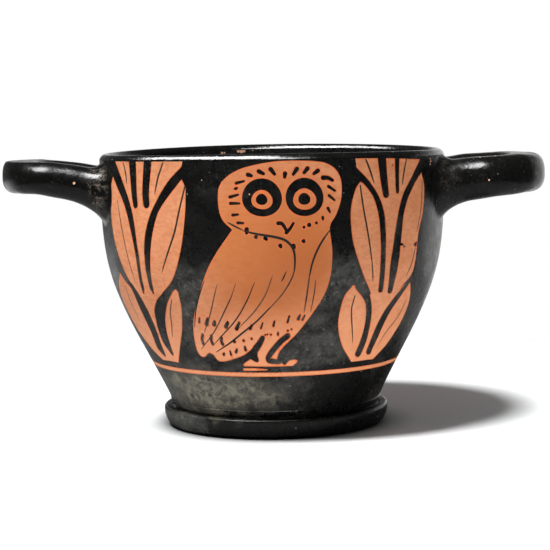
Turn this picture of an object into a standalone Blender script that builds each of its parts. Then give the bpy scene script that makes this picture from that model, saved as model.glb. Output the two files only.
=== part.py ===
"""A two-handled drinking cup (skyphos), thrown on the wheel and fired as one piece of clay.

The bowl and its foot are one turned profile. Each handle is a rolled loop of clay that lies level
and grows out of the wall, so bowl, foot and handles are one solid. The cup stands on z = 0 with
its axis on Z, its handles along X and its painted front towards -Y.
"""
import math

import bmesh
import bpy

# Bowl: outside radius and height of the lip, and where the wall turns upright below it.
# A slope is the radius gained for each unit of height.
HEIGHT = 0.0841
RIM_RADIUS = 0.0525
RIM_SLOPE = 0.045
SHOULDER_BELOW_RIM = 0.0401
SHOULDER_INSET = 0.0036
SHOULDER_SLOPE = 0.33
WAIST_SLOPE = 0.43
WALL = 0.0032
LIP_ROUNDING = 0.0015

# Inside of the bowl: the floor against the foot's ledge, and the rounding from floor to wall
FLOOR_ABOVE_LEDGE = 0.0017
FLOOR_THICKNESS = 0.0048
FLOOR_ROUNDING = 0.0155
FLOOR_DISH = 0.0004

# Disc foot: a collar round the joint, a narrow ledge and a convex edge that draws in below
FOOT_RADIUS = 0.0344
LEDGE_HEIGHT = 0.0061
LEDGE_WIDTH = 0.0033
LEDGE_NOTCH = 0.0004
COLLAR_HEIGHT = 0.0024
COLLAR_PROUD = 0.0003
COLLAR_EDGE_HEIGHT = 0.0006
NOTCH_DEPTH = 0.0006
FOOT_EDGE_ROUNDING = 0.0007
FOOT_DRAW_IN = 0.0032
STAND_WIDTH = 0.0042
RECESS_SLANT = 0.0012

# Handles: the centre line of one loop, and the thickness of the rolled clay along it
HANDLE_REACH = 0.0302
HANDLE_BELOW_RIM = 0.0076
HANDLE_DROP = 0.0039
ROOT_SPACING = 0.0270
LOOP_SPACING = 0.0300
LOOP_BEND = 0.0133
LIMB_RADIUS = 0.0045
BOW_RADIUS = 0.0054
ROOT_RADIUS = 0.0068
ROOT_FILLET = 0.0026
FILLET_LENGTH = 0.0052

# How the loop's clay thins from the root outwards, and how its sections crowd towards the root
ROOT_TAPER = 2
ROOT_CROWDING = 1.5

# Fineness of the faceted surfaces
TURN_STEPS = 64
WALL_STEPS = 13
INNER_WALL_STEPS = 10
FLOOR_ROUNDING_STEPS = 6
LIP_STEPS = 6
EDGE_STEPS = 4
LEDGE_EDGE_STEPS = 2
LIMB_STEPS = 12
BOW_STEPS = 14
TUBE_RESOLUTION = 4

GLAZE_COLOR = (0.030, 0.029, 0.027, 1.0)
GLAZE_ROUGHNESS = 0.28

# Distance under which points are one, and half the height over which a wall's slope is taken
MERGE = 0.00001
SLOPE_REACH = 0.0002


def clear_scene():
    for old in list(bpy.data.objects):
        bpy.data.objects.remove(old, do_unlink=True)


def new_collection(name):
    group = bpy.data.collections.new(name)
    bpy.context.scene.collection.children.link(group)
    return group


def glaze():
    material = bpy.data.materials.new("black_gloss")
    material.use_nodes = True
    shader = material.node_tree.nodes["Principled BSDF"]
    shader.inputs["Base Color"].default_value = GLAZE_COLOR
    shader.inputs["Roughness"].default_value = GLAZE_ROUGHNESS
    shader.inputs["Metallic"].default_value = 0.0
    return material


def hermite(share, start, start_rise, end, end_rise):
    """A smooth step between two values whose rises over the whole step are given."""
    s = share
    return ((2 * s**3 - 3 * s**2 + 1) * start + (s**3 - 2 * s**2 + s) * start_rise
            + (3 * s**2 - 2 * s**3) * end + (s**3 - s**2) * end_rise)


def wall_radius(z):
    """Outside radius of the bowl at a height: waist, shoulder and rim joined by smooth curves."""
    waist = (LEDGE_HEIGHT, FOOT_RADIUS - LEDGE_WIDTH, WAIST_SLOPE)
    shoulder = (HEIGHT - SHOULDER_BELOW_RIM, RIM_RADIUS - SHOULDER_INSET, SHOULDER_SLOPE)
    rim = (HEIGHT, RIM_RADIUS, RIM_SLOPE)
    low, high = (waist, shoulder) if z < shoulder[0] else (shoulder, rim)
    span = high[0] - low[0]
    return hermite((z - low[0]) / span, low[1], low[2] * span, high[1], high[2] * span)


def wall_slope(z):
    return (wall_radius(z + SLOPE_REACH) - wall_radius(z - SLOPE_REACH)) / (2 * SLOPE_REACH)


def inner_radius(z):
    """Inside radius at a height, with the wall's thickness measured square to its face."""
    return wall_radius(z) - WALL * math.hypot(1.0, wall_slope(z))


def arc(center, radii, start_degrees, end_degrees, steps):
    """Points of (radius, height) along an ellipse's arc, both ends included."""
    points = []
    for i in range(steps + 1):
        angle = math.radians(start_degrees + (end_degrees - start_degrees) * i / steps)
        points.append((center[0] + radii[0] * math.cos(angle), center[1] + radii[1] * math.sin(angle)))
    return points


def spaced(start, end, steps):
    return [start + (end - start) * i / steps for i in range(steps + 1)]


def inside_points():
    """From the middle of the dished floor, through the rounding, up the inner wall to the lip."""
    floor = LEDGE_HEIGHT + FLOOR_ABOVE_LEDGE
    join = floor + FLOOR_ROUNDING
    join_radius = inner_radius(join)
    corner = join_radius - FLOOR_ROUNDING * wall_slope(join)
    flat = corner - FLOOR_ROUNDING
    points = [(0.0, floor), (flat / 2, floor + FLOOR_DISH / 4), (flat, floor + FLOOR_DISH)]
    for s in spaced(0.0, 1.0, FLOOR_ROUNDING_STEPS)[1:]:
        radius = (1 - s)**2 * flat + 2 * s * (1 - s) * corner + s**2 * join_radius
        points.append((radius, floor + FLOOR_DISH * (1 - s) + FLOOR_ROUNDING * s**2))
    for z in spaced(join, HEIGHT - LIP_ROUNDING, INNER_WALL_STEPS)[1:]:
        points.append((inner_radius(z), z))
    return points


def lip_points():
    """The rounded lip, over from the inner face to the outer one."""
    springing = HEIGHT - LIP_ROUNDING
    inner, outer = inner_radius(springing), wall_radius(springing)
    middle = (inner + outer) / 2
    return arc((middle, springing), ((outer - inner) / 2, LIP_ROUNDING), 180, 0, LIP_STEPS)[1:]


def outside_points():
    """Down the outer wall to the top of the collar."""
    collar_top = LEDGE_HEIGHT + COLLAR_HEIGHT
    return [(wall_radius(z), z) for z in spaced(HEIGHT - LIP_ROUNDING, collar_top, WALL_STEPS)[1:]]


def foot_points():
    """Collar, notch, ledge, convex edge, standing ring and the recess under the floor."""
    collar = wall_radius(LEDGE_HEIGHT + COLLAR_HEIGHT) + COLLAR_PROUD
    notch = collar - NOTCH_DEPTH
    rounding = FOOT_EDGE_ROUNDING
    widest = LEDGE_HEIGHT - rounding
    points = [(collar, LEDGE_HEIGHT + COLLAR_EDGE_HEIGHT), (notch, LEDGE_HEIGHT - LEDGE_NOTCH)]
    points += arc((FOOT_RADIUS - rounding, widest), (rounding, rounding), 90, 0, LEDGE_EDGE_STEPS)
    for angle in spaced(0, math.pi / 2, EDGE_STEPS)[1:]:
        draw_in = FOOT_DRAW_IN * (1 - math.cos(angle))
        points.append((FOOT_RADIUS - draw_in, widest * (1 - math.sin(angle))))
    inner_edge = FOOT_RADIUS - FOOT_DRAW_IN - STAND_WIDTH
    recess = LEDGE_HEIGHT + FLOOR_ABOVE_LEDGE - FLOOR_THICKNESS
    points += [(inner_edge, 0.0), (inner_edge - RECESS_SLANT, recess), (0.0, recess)]
    return points


def turned(name, points, group):
    """A solid of revolution about Z from its (radius, height) profile."""
    mesh = bpy.data.meshes.new(name)
    corners = [(radius, 0.0, height) for radius, height in points]
    mesh.from_pydata(corners, [(i, i + 1) for i in range(len(corners) - 1)], [])
    body = bpy.data.objects.new(name, mesh)
    group.objects.link(body)
    screw = body.modifiers.new("turn", "SCREW")
    screw.steps = TURN_STEPS
    screw.render_steps = TURN_STEPS
    screw.use_merge_vertices = True
    screw.merge_threshold = MERGE
    screw.use_smooth_shade = True
    return body


def loop_end():
    """Distance from the cup's axis to the middle of the clay at the loop's outer end."""
    return RIM_RADIUS + HANDLE_REACH - BOW_RADIUS


def limb_points(root, bend_start):
    """(x, y, thickness radius) from the root to the bend, closer together near the root."""
    points = []
    for share in spaced(1.0, 0.0, LIMB_STEPS)[:-1]:
        to_root = share**ROOT_CROWDING
        spacing = LOOP_SPACING - (LOOP_SPACING - ROOT_SPACING) * to_root**2
        points.append((bend_start - (bend_start - root) * to_root, -spacing / 2, LIMB_RADIUS))
    return points


def bow_points(bend_start):
    """(x, y, thickness radius) round the near half of the bow, to the loop's outer end."""
    points = []
    for angle in spaced(math.pi / 2, 0.0, BOW_STEPS // 2):
        x = bend_start + LOOP_BEND * math.cos(angle)
        y = -LOOP_SPACING / 2 * math.sin(angle)
        points.append((x, y, LIMB_RADIUS + (BOW_RADIUS - LIMB_RADIUS) * (1 - math.sin(angle))))
    return points


def handle_path():
    """(x, y, z, thickness radius) along one loop, from its root at -Y round to its root at +Y."""
    end_height = HEIGHT - HANDLE_BELOW_RIM
    wall_face = math.sqrt(wall_radius(end_height)**2 - (ROOT_SPACING / 2)**2)
    root = wall_face - WALL
    bend_start = loop_end() - LOOP_BEND
    path = []
    for x, y, thickness in limb_points(root, bend_start) + bow_points(bend_start):
        along = (x - root) / (loop_end() - root)
        z = end_height - HANDLE_DROP * (1 - math.sin(along * math.pi / 2))
        growth = (ROOT_RADIUS - LIMB_RADIUS) * (1 - along)**ROOT_TAPER
        from_wall = max(x - wall_face, 0.0)
        fillet = ROOT_FILLET * max(1 - from_wall / FILLET_LENGTH, 0.0)**2
        path.append((x, y, z, thickness + growth + fillet))
    return path + [(x, -y, z, thickness) for x, y, z, thickness in reversed(path[:-1])]


def handle_loop(name, side, group):
    """One rolled loop of clay as a mesh, its two ends buried in the wall."""
    curve = bpy.data.curves.new(name, "CURVE")
    curve.dimensions = "3D"
    curve.bevel_depth = LIMB_RADIUS
    curve.bevel_resolution = TUBE_RESOLUTION
    curve.use_fill_caps = True
    path = handle_path()
    spline = curve.splines.new("POLY")
    spline.points.add(len(path) - 1)
    for point, (x, y, z, thickness) in zip(spline.points, path):
        point.co = (side * x, side * y, z, 1.0)
        point.radius = thickness / LIMB_RADIUS
    tube = bpy.data.objects.new(name + "_curve", curve)
    group.objects.link(tube)
    evaluated = tube.evaluated_get(bpy.context.evaluated_depsgraph_get())
    mesh = bpy.data.meshes.new_from_object(evaluated)
    weld_caps(mesh)
    loop = bpy.data.objects.new(name, mesh)
    loop.matrix_world = tube.matrix_world
    group.objects.link(loop)
    bpy.data.objects.remove(tube, do_unlink=True)
    return loop


def weld_caps(mesh):
    work = bmesh.new()
    work.from_mesh(mesh)
    bmesh.ops.remove_doubles(work, verts=work.verts, dist=MERGE)
    bmesh.ops.recalc_face_normals(work, faces=work.faces)
    work.to_mesh(mesh)
    work.free()


def boolean(target, cutter, operation):
    modifier = target.modifiers.new(cutter.name, "BOOLEAN")
    modifier.operation = operation
    modifier.solver = "EXACT"
    modifier.object = cutter
    cutter.hide_render = True
    cutter.display_type = "WIRE"


def bowl_core_points():
    """A plug out to the middle of the wall, to trim the buried ends of the handles.

    It starts halfway up to the shoulder, well below the handles, and ends above the rim.
    """
    low, high = (HEIGHT - SHOULDER_BELOW_RIM) / 2, HEIGHT + HANDLE_BELOW_RIM
    edge = [(wall_radius(min(z, HEIGHT)) - WALL / 2, z) for z in spaced(high, low, WALL_STEPS)]
    return [(0.0, high)] + edge + [(0.0, low)]


def build():
    clear_scene()
    parts = new_collection("skyphos")
    guides = new_collection("guides")
    profile = inside_points() + lip_points() + outside_points() + foot_points()
    skyphos = turned("skyphos", profile, parts)
    skyphos.data.materials.append(glaze())
    core = turned("bowl_core", bowl_core_points(), guides)
    core.hide_render = True
    core.display_type = "WIRE"
    for name, side in (("loop_left", -1), ("loop_right", 1)):
        loop = handle_loop(name, side, guides)
        boolean(loop, core, "DIFFERENCE")
        boolean(skyphos, loop, "UNION")


build()
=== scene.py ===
"""A two-handled drinking cup (skyphos) with an owl between two olive sprigs painted on each side.

The cup is built piece by piece around the frame: the thrown bowl with its painted wall, the disc
foot, and the two level loop handles. The painting is drawn on a chart of the wall, in millimetres:
across it is the angle round the cup times the rim's radius, and up it is the height. It is then
cut into the wall's mesh, so that every clay figure and every painted line has a crisp edge and
stays level with the black around it.
"""
import math

import bpy
from mathutils import Matrix, Vector, geometry, kdtree, noise


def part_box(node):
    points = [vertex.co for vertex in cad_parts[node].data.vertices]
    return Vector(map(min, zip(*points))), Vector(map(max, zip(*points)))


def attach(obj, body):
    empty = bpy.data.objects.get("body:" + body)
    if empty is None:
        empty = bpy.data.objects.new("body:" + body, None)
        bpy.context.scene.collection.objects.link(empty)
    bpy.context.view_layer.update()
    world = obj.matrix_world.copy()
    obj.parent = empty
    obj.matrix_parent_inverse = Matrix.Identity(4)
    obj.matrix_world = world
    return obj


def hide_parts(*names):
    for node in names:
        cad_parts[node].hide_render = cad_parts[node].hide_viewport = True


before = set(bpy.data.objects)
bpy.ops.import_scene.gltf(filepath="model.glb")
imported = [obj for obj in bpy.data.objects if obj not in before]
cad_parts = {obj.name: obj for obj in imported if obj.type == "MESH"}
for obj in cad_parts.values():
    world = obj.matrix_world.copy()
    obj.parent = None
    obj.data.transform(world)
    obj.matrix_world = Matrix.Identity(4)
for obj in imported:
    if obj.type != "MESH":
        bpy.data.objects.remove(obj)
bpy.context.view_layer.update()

bl_info = {
    "name": "Owl Cup",
    "version": (1, 0, 0),
    "blender": (4, 5, 0),
    "location": "View3D > Sidebar > Owl Cup",
    "description": "Builds a painted two-handled drinking cup around its frame",
    "category": "Add Mesh",
}

NODE = "skyphos"
BODY = "root"
LOW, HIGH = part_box(NODE)
MM = 0.001

# The chart runs once round the cup, from the left handle past the front to the left handle again
CHART_START = -math.pi / 2
CHART_STEPS = 180
CHART_ROWS = 42
# How the chart is meshed, in millimetres
PAINT_GRID = 0.65
CLOSE_TO_LINE = 0.28
FINE_WITHIN = 1.2
SPARSE_EVERY = 3
HIDDEN_BY_FOOT = 2.4
CLEAR_OF_GROUND_LINE = 0.3
SAME_POINT = 0.05
ON_EDGE = 0.001
# How many parts each curve is meshed in
INTERIOR_STEPS = 30
FLOOR_STEPS = 4
LIP_STEPS = 16
FOOT_CORNER_STEPS = 4
FOOT_EDGE_STEPS = 12
LIMB_STEPS = 32
LIMB_CROWDING = 1.7
BOW_STEPS = 24
HANDLE_SIDES = 44
TABLE_SIDES = 96
# Edges sharper than these are shaded as edges
FOOT_SHARP = math.radians(38)
HANDLE_SHARP = math.radians(60)


def length(name, about, default):
    return bpy.props.FloatProperty(name=name, description=about, default=default, unit="LENGTH", precision=5)


def pair(name, about, default):
    """Two lengths, for the left handle and the right one."""
    return bpy.props.FloatVectorProperty(name=name, description=about, default=default, size=2,
                                         unit="LENGTH", precision=5)


def share(name, about, default, top=1.0):
    return bpy.props.FloatProperty(name=name, description=about, default=default, min=0.0, max=top)


def slope(name, about, default):
    return bpy.props.FloatProperty(name=name, description=about, default=default)


def colour(name, about, default):
    return bpy.props.FloatVectorProperty(name=name, description=about, default=default, size=3,
                                         subtype="COLOR", min=0.0, max=1.0)


class BowlSizes(bpy.types.PropertyGroup):
    height: length("Height", "Height of the lip above the table", HIGH.z)
    rim_radius: length("Rim radius", "Outside radius where the lip would end if it were not rounded", 0.0525)
    rim_slope: slope("Rim slope", "Radius gained per unit of height at the rim", 0.045)
    shoulder_below_rim: length("Shoulder below rim", "Depth below the lip where the wall turns up", 0.0401)
    shoulder_inset: length("Shoulder inset", "How far the wall is in from the rim there", 0.0036)
    shoulder_slope: slope("Shoulder slope", "Radius gained per unit of height at the shoulder", 0.33)
    waist_slope: slope("Waist slope", "Radius gained per unit of height just above the foot", 0.43)
    wall: length("Wall", "Thickness of the wall", 0.0032)
    lip_rounding: length("Lip rounding", "Height of the rounded lip", 0.0017)
    lip_roundness: slope("Lip roundness", "2 for a round lip, less for one with a bevelled outer edge", 1.5)
    floor_above_ledge: length("Floor above ledge", "Height of the inside floor over the foot's ledge", 0.0017)
    floor_rounding: length("Floor rounding", "Height of the curve between floor and wall inside", 0.0155)
    floor_dish: length("Floor dish", "How far the floor rises from its middle", 0.0004)
    sag: length("Sag", "How far the rim sank at the handles before firing", 0.0007)


class FootSizes(bpy.types.PropertyGroup):
    radius: length("Foot radius", "Widest radius of the disc foot", 0.0344)
    ledge_height: length("Ledge height", "Height of the foot's flat ledge", 0.0061)
    ledge_width: length("Ledge width", "How far the ledge stands out from the bowl", 0.0033)
    ledge_notch: length("Groove depth", "How far the groove is cut below the ledge", 0.0007)
    collar_height: length("Collar height", "Height of the raised collar over the ledge", 0.0024)
    collar_proud: length("Collar proud", "How far the collar stands out from the wall", 0.0003)
    edge_rounding: length("Edge rounding", "Rounding of the ledge's outer edge", 0.0007)
    draw_in: length("Draw in", "How far the foot's edge draws in below", 0.0032)
    stand_width: length("Standing ring", "Width of the ring that the cup stands on", 0.0042)
    floor_thickness: length("Floor thickness", "Clay between the inside floor and the recess below", 0.0048)
    recess_slant: length("Recess slant", "Slope of the recess's side", 0.0012)
    disc_radius: length("Underside disc", "Radius of the painted dot in the middle below", 0.0030)
    circle_radius: length("Underside circle", "Radius of the painted circle round it", 0.0125)
    circle_width: length("Circle width", "Width of that painted circle", 0.0018)


class HandleSizes(bpy.types.PropertyGroup):
    reach: pair("Reach", "How far a handle stands out beyond the rim", (HIGH.x - 0.0529, HIGH.x - 0.0519))
    below_rim: pair("Below rim", "Depth of the outer end's middle below the lip", (0.0067, 0.0084))
    drop: pair("Drop", "How much lower the handle starts at the wall", (0.0045, 0.0026))
    limb_radius: pair("Limb radius", "Half the thickness of the rolled clay", (0.0049, 0.0060))
    bow_radius: pair("Bow radius", "Half the thickness at the outer end", (0.0057, 0.0060))
    root_radius: pair("Root radius", "Half the thickness near the wall", (0.0065, 0.0070))
    back_drop: pair("Back drop", "How much lower the back limb sags", (0.0007, 0.0))
    root_spacing: length("Root spacing", "Distance between a loop's two limbs at the wall", 0.0270)
    loop_spacing: length("Loop spacing", "Distance between the limbs at the bend", 0.0300)
    bend: pair("Bend", "Length of the rounded end of the loop", (0.0098, 0.0133))
    squareness: slope("Squareness", "How square the clay's section gets at the outer end", 0.9)
    fillet: length("Fillet", "Flare of the sides where the clay is smeared onto the wall", 0.0026)
    fillet_below: length("Fillet below", "Flare under the handle at the wall", 0.0048)
    fillet_above: length("Fillet above", "Flare over the handle at the wall", 0.0034)
    fillet_reach: length("Fillet reach", "How far from the wall the flare starts", 0.0088)
    above_reach: length("Reach above", "How far from the wall the flare starts on top", 0.0045)
    unevenness: length("Unevenness", "Depth of the hand-rolled waviness", 0.00022)
    waves: length("Waves", "Distance between those waves", 0.0065)


class PaintSizes(bpy.types.PropertyGroup):
    ground_height: length("Ground line", "Height of the reserved ground line's lower edge", 0.0194)
    ground_width: length("Ground line width", "Width of the reserved ground line", 0.0013)
    line: length("Relief line", "Width of a thin painted line", 0.00050)
    tick: length("Tick", "Width of a short feather stroke", 0.00155)


class Finishes(bpy.types.PropertyGroup):
    black: colour("Black gloss", "The fired black slip", (0.0024, 0.0024, 0.0022))
    cloud: colour("Clouding", "Thin grey places in the black", (0.050, 0.050, 0.043))
    chip: colour("Chips", "Pale orange clay in small chips", (0.75, 0.42, 0.26))
    speck: colour("Specks", "Pale grains and scratches in the black", (0.45, 0.44, 0.40))
    crumb: colour("Crumbs", "Earthy grains left at the roots of the handles", (0.205, 0.175, 0.143))
    bloom: colour("Bloom", "Pale crystals in the clouded places", (0.190, 0.190, 0.172))
    worn: colour("Worn slip", "Greenish slip rubbed thin above the foot", (0.175, 0.165, 0.118))
    clay: colour("Clay", "The bare fired clay of the figures", (0.620, 0.245, 0.110))
    clay_pale: colour("Pale clay", "The slightly paler clay low on the wall", (0.720, 0.285, 0.128))
    clay_deep: colour("Deep clay", "Clay where it is denser and redder", (0.485, 0.130, 0.018))
    clay_breast: colour("Breast clay", "The deepest clay, on the owl's breast", (0.430, 0.105, 0.010))
    clay_edge: colour("Clay edge", "Deeper orange where clay meets black", (0.640, 0.125, 0.018))
    edge_width: length("Edge width", "How far that deeper orange runs in from the black", 0.00042)
    line: colour("Line", "Thick painted line", (0.008, 0.007, 0.006))
    thin_line: colour("Thinned line", "Brown of a thinned line", (0.110, 0.040, 0.016))
    roughness: share("Gloss roughness", "Roughness of the black gloss", 0.27)
    clay_roughness: share("Clay roughness", "Roughness of the bare clay", 0.62)


class StageSizes(bpy.types.PropertyGroup):
    distance: length("Camera distance", "Distance from the cup's axis to the camera", 0.5708)
    camera_height: length("Camera height", "Height of the camera above the table", 0.10068)
    lens: bpy.props.FloatProperty(name="Lens", description="Focal length in millimetres", default=122.07)
    pitch: bpy.props.FloatProperty(name="Pitch", description="How far the camera looks down",
                                   default=0.0968, subtype="ANGLE")
    yaw: bpy.props.FloatProperty(name="Yaw", description="How far the camera looks to the right",
                                 default=0.0007, subtype="ANGLE")
    roll: bpy.props.FloatProperty(name="Roll", description="How far the camera leans", default=-0.0179,
                                  subtype="ANGLE")
    floor: colour("Table", "Pale table top", (0.86, 0.86, 0.86))
    seen_floor: colour("Table seen", "The table top as the camera sees it", (0.64, 0.65, 0.655))
    table_radius: length("Table radius", "Radius of the round table top", 0.20)
    contact: length("Contact shadow", "How far the foot's soft contact shadow reaches", 0.010)
    sun: share("Sun", "Strength of the high light from the upper left", 6.4, 100.0)
    sun_softness: bpy.props.FloatProperty(name="Sun softness", description="Width of that light",
                                          default=math.radians(11.0), subtype="ANGLE")
    sun_left: slope("Sun left", "How far left of the cup the light stands, per unit of height", 0.35)
    sun_front: slope("Sun front", "How far in front of the cup it stands, per unit of height", 0.30)
    box_power: share("Soft box", "Power of the wide soft box that the gloss mirrors, in watts", 13.0, 1000.0)
    box_width: length("Soft box width", "Width of that box", 0.55)
    box_depth: length("Soft box depth", "Depth of that box", 0.34)
    strip_power: share("Strip", "Power of the long strip that the lip mirrors, in watts", 36.0, 1000.0)
    strip_width: length("Strip width", "Width of that strip", 1.6)
    side_power: share("Side light", "Power of the weak light on the right, in watts", 1.3, 1000.0)
    fill: share("Fill", "Light that comes from all round", 0.20, 10.0)
    tent: share("Tent", "Brightness of the pale walls that the gloss mirrors", 1.0, 10.0)
    dark_side: share("Dark side", "Brightness of the dark roof and front that it mirrors", 0.06, 10.0)
    mirrored_table: share("Mirrored table", "How pale the gloss mirrors the table", 0.14)


# The turned profile

class Profile:
    """Heights and radii of the thrown bowl, in metres, from its named sizes."""

    def __init__(self, bowl, foot):
        self.bowl = bowl
        self.foot = foot
        self.springing = bowl.height - bowl.lip_rounding
        self.collar_top = foot.ledge_height + foot.collar_height
        self.waist = (foot.ledge_height, foot.radius - foot.ledge_width, bowl.waist_slope)
        self.shoulder = (bowl.height - bowl.shoulder_below_rim, bowl.rim_radius - bowl.shoulder_inset,
                         bowl.shoulder_slope)
        self.rim = (bowl.height, bowl.rim_radius, bowl.rim_slope)

    def radius(self, z):
        low, high = (self.waist, self.shoulder) if z < self.shoulder[0] else (self.shoulder, self.rim)
        span = high[0] - low[0]
        s = (z - low[0]) / span
        return ((2 * s**3 - 3 * s**2 + 1) * low[1] + (s**3 - 2 * s**2 + s) * low[2] * span
                + (3 * s**2 - 2 * s**3) * high[1] + (s**3 - s**2) * high[2] * span)

    def sink(self, point):
        """Lowers a point near the rim where the weight of the handles pulled it down."""
        start = self.shoulder[0]
        if point.z > start:
            share_up = (point.z - start) / (self.bowl.height - start)
            sideways = point.x**2 / (point.x**2 + point.y**2)
            point.z -= self.bowl.sag * share_up**2 * sideways

    def slope(self, z, step=0.0001):
        return (self.radius(z + step) - self.radius(z - step)) / (2 * step)

    def inner(self, z):
        return self.radius(z) - self.bowl.wall * math.hypot(1.0, self.slope(z))

    def lip(self):
        """(radius, height, outward normal) over the lip, from the outer face to the inner one."""
        outer, inner = self.radius(self.springing), self.inner(self.springing)
        middle, half = (outer + inner) / 2, (outer - inner) / 2
        points = []
        power = self.bowl.lip_roundness
        for i in range(1, LIP_STEPS + 1):
            angle = math.pi * i / LIP_STEPS
            across, up = math.cos(angle), math.sin(angle)
            size = 1 / (abs(across)**power + abs(up)**power)**(1 / power)
            across, up = across * size, max(up * size, 0.0)
            normal = Vector((math.copysign(abs(across)**(power - 1), across) / half,
                             up**(power - 1) / self.bowl.lip_rounding)).normalized()
            points.append((middle + half * across, self.springing + self.bowl.lip_rounding * up, normal))
        return points

    def interior(self):
        """(radius, height, outward normal) down the inside, from the lip to the rim of the flat floor."""
        floor = self.foot.ledge_height + self.bowl.floor_above_ledge
        join = floor + self.bowl.floor_rounding
        points = []
        for i in range(1, INTERIOR_STEPS + 1):
            z = self.springing + (join - self.springing) * i / INTERIOR_STEPS
            points.append((self.inner(z), z))
        corner = self.inner(join) - self.bowl.floor_rounding * self.slope(join)
        flat = corner - self.bowl.floor_rounding
        rounding_steps = INTERIOR_STEPS // 2
        for i in range(1, rounding_steps + 1):
            s = 1 - i / rounding_steps
            radius = (1 - s)**2 * flat + 2 * s * (1 - s) * corner + s**2 * self.inner(join)
            z = floor + self.bowl.floor_dish * (1 - s) + self.bowl.floor_rounding * s**2
            points.append((radius, z))
        for i in range(FLOOR_STEPS - 1, 0, -1):
            part = i / FLOOR_STEPS
            points.append((flat * part, floor + self.bowl.floor_dish * part**2))
        return with_normals([(self.inner(self.springing), self.springing)] + points)[1:]


def with_normals(points):
    """Adds to each (radius, height) the normal on the right of the way the points run."""
    found = []
    for i, (radius, height) in enumerate(points):
        before, after = points[max(i - 1, 0)], points[min(i + 1, len(points) - 1)]
        normal = Vector((after[1] - before[1], before[0] - after[0])).normalized()
        found.append((radius, height, normal))
    return found


# Lines and shapes on the chart, in millimetres

LINE_SPACING = 0.6
BAR_SPACING = 0.4
CAP_STEPS = 6
DOT_STEPS = 10
PUPIL_STEPS = 24
# A tick's width where the brush lands and lifts, and the length of its round ends, as shares of its width
TICK_HEEL = 1.05
TICK_TIP = 0.75
TICK_ENDS = 0.7
SHORTEST_TICK = 0.1


def smooth(points, spacing=LINE_SPACING):
    """Points along a smooth curve through a few given ones."""
    count = len(points)
    if count < 3:
        return [tuple(p) for p in points]
    found = []
    for i in range(count - 1):
        b, c = Vector(points[i]), Vector(points[i + 1])
        a = Vector(points[i - 1]) if i > 0 else b + (b - c)
        d = Vector(points[i + 2]) if i + 2 < count else c + (c - b)
        steps = max(1, round((c - b).length / spacing))
        for k in range(steps):
            t = k / steps
            found.append(tuple(0.5 * ((2 * b) + (c - a) * t + (2 * a - 5 * b + 4 * c - d) * t**2
                                      + (3 * b - a - 3 * c + d) * t**3)))
    return found + [tuple(points[-1])]


def outline(*edges):
    """A closed outline of several smooth edges that meet in corners."""
    points = []
    for edge in edges:
        for point in smooth(edge):
            if not points or math.dist(point, points[-1]) > SAME_POINT:
                points.append(point)
    if math.dist(points[0], points[-1]) < SAME_POINT:
        points.pop()
    return points


def ellipse(centre, across, up, turn=0.0, steps=40, wobble=0.0):
    """A hand-drawn round, wider or taller as given, a little uneven if wobble is set."""
    points = []
    for i in range(steps):
        angle = 2 * math.pi * i / steps
        size = 1 + wobble * math.sin(3 * angle + centre[0]) + wobble * math.sin(2 * angle + centre[1])
        x, y = across * size * math.cos(angle), up * size * math.sin(angle)
        points.append((centre[0] + x * math.cos(turn) - y * math.sin(turn),
                       centre[1] + x * math.sin(turn) + y * math.cos(turn)))
    return points


def stroke(points, width, start, end):
    """The outline of a brush stroke through three points or more. start and end are its ends' widths."""
    path = [Vector(p) for p in smooth(points)]
    left, right = [], []
    for i, point in enumerate(path):
        along = (path[min(i + 1, len(path) - 1)] - path[max(i - 1, 0)]).normalized()
        side = Vector((-along.y, along.x))
        s = i / (len(path) - 1)
        swell = math.sqrt(math.sin(math.pi * s))
        half = width / 2 * (swell + (1 - swell) * (start * (1 - s) + end * s))
        left.append(tuple(point + side * half))
        right.append(tuple(point - side * half))
    return left + right[::-1]


def bar(points, *widths):
    """The outline of a full stroke with round ends. The widths are spread evenly along it."""
    path = [Vector(p) for p in smooth(points, BAR_SPACING)]
    last = len(path) - 1
    left, right, caps = [], [], []
    for i, point in enumerate(path):
        along = (path[min(i + 1, last)] - path[max(i - 1, 0)]).normalized()
        side = Vector((-along.y, along.x))
        place = i / last * (len(widths) - 1)
        number = min(int(place), len(widths) - 2)
        half = (widths[number] + (widths[number + 1] - widths[number]) * (place - number)) / 2
        left.append(tuple(point + side * half))
        right.append(tuple(point - side * half))
        if i in (0, last):
            turn = -1 if i == 0 else 1
            caps.append([tuple(point + side * half * turn * math.cos(a) + along * half * turn * math.sin(a))
                         for a in (math.pi * k / CAP_STEPS for k in range(1, CAP_STEPS))])
    return left + caps[1] + right[::-1] + caps[0]


def tick(x, y, run, rise, width):
    """A short blunt stroke about its middle, thinner where the brush left it."""
    long = math.hypot(run, rise)
    keep = max(long - width * TICK_ENDS, SHORTEST_TICK) / long
    run, rise = run * keep, rise * keep
    path = [(x - run / 2, y - rise / 2), (x + run / 2, y + rise / 2)]
    return bar(path, width * TICK_HEEL, width * TICK_TIP)


def dot(x, y, size):
    return ellipse((x, y), size / 2, size / 2, steps=DOT_STEPS)


class Painting:
    """Shapes laid one over another on the chart: the last one over a place gives its colour."""

    def __init__(self, centre=0.0, flip=1):
        self.centre = centre
        self.flip = flip
        self.shapes = []

    def add(self, kind, points):
        placed = [(self.centre + self.flip * x, y) for x, y in points]
        area = sum(a[0] * b[1] - b[0] * a[1] for a, b in zip(placed, placed[1:] + placed[:1]))
        self.shapes.append((kind, placed if area > 0 else placed[::-1]))

    def clay(self, *edges):
        self.add("clay", outline(*edges))


# The owl: body to the left, face to the front

# The eyes lie between these places across the chart, and the ticks on either side of them are finer
EYES_START = -8.5
EYES_END = 13.5
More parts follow.
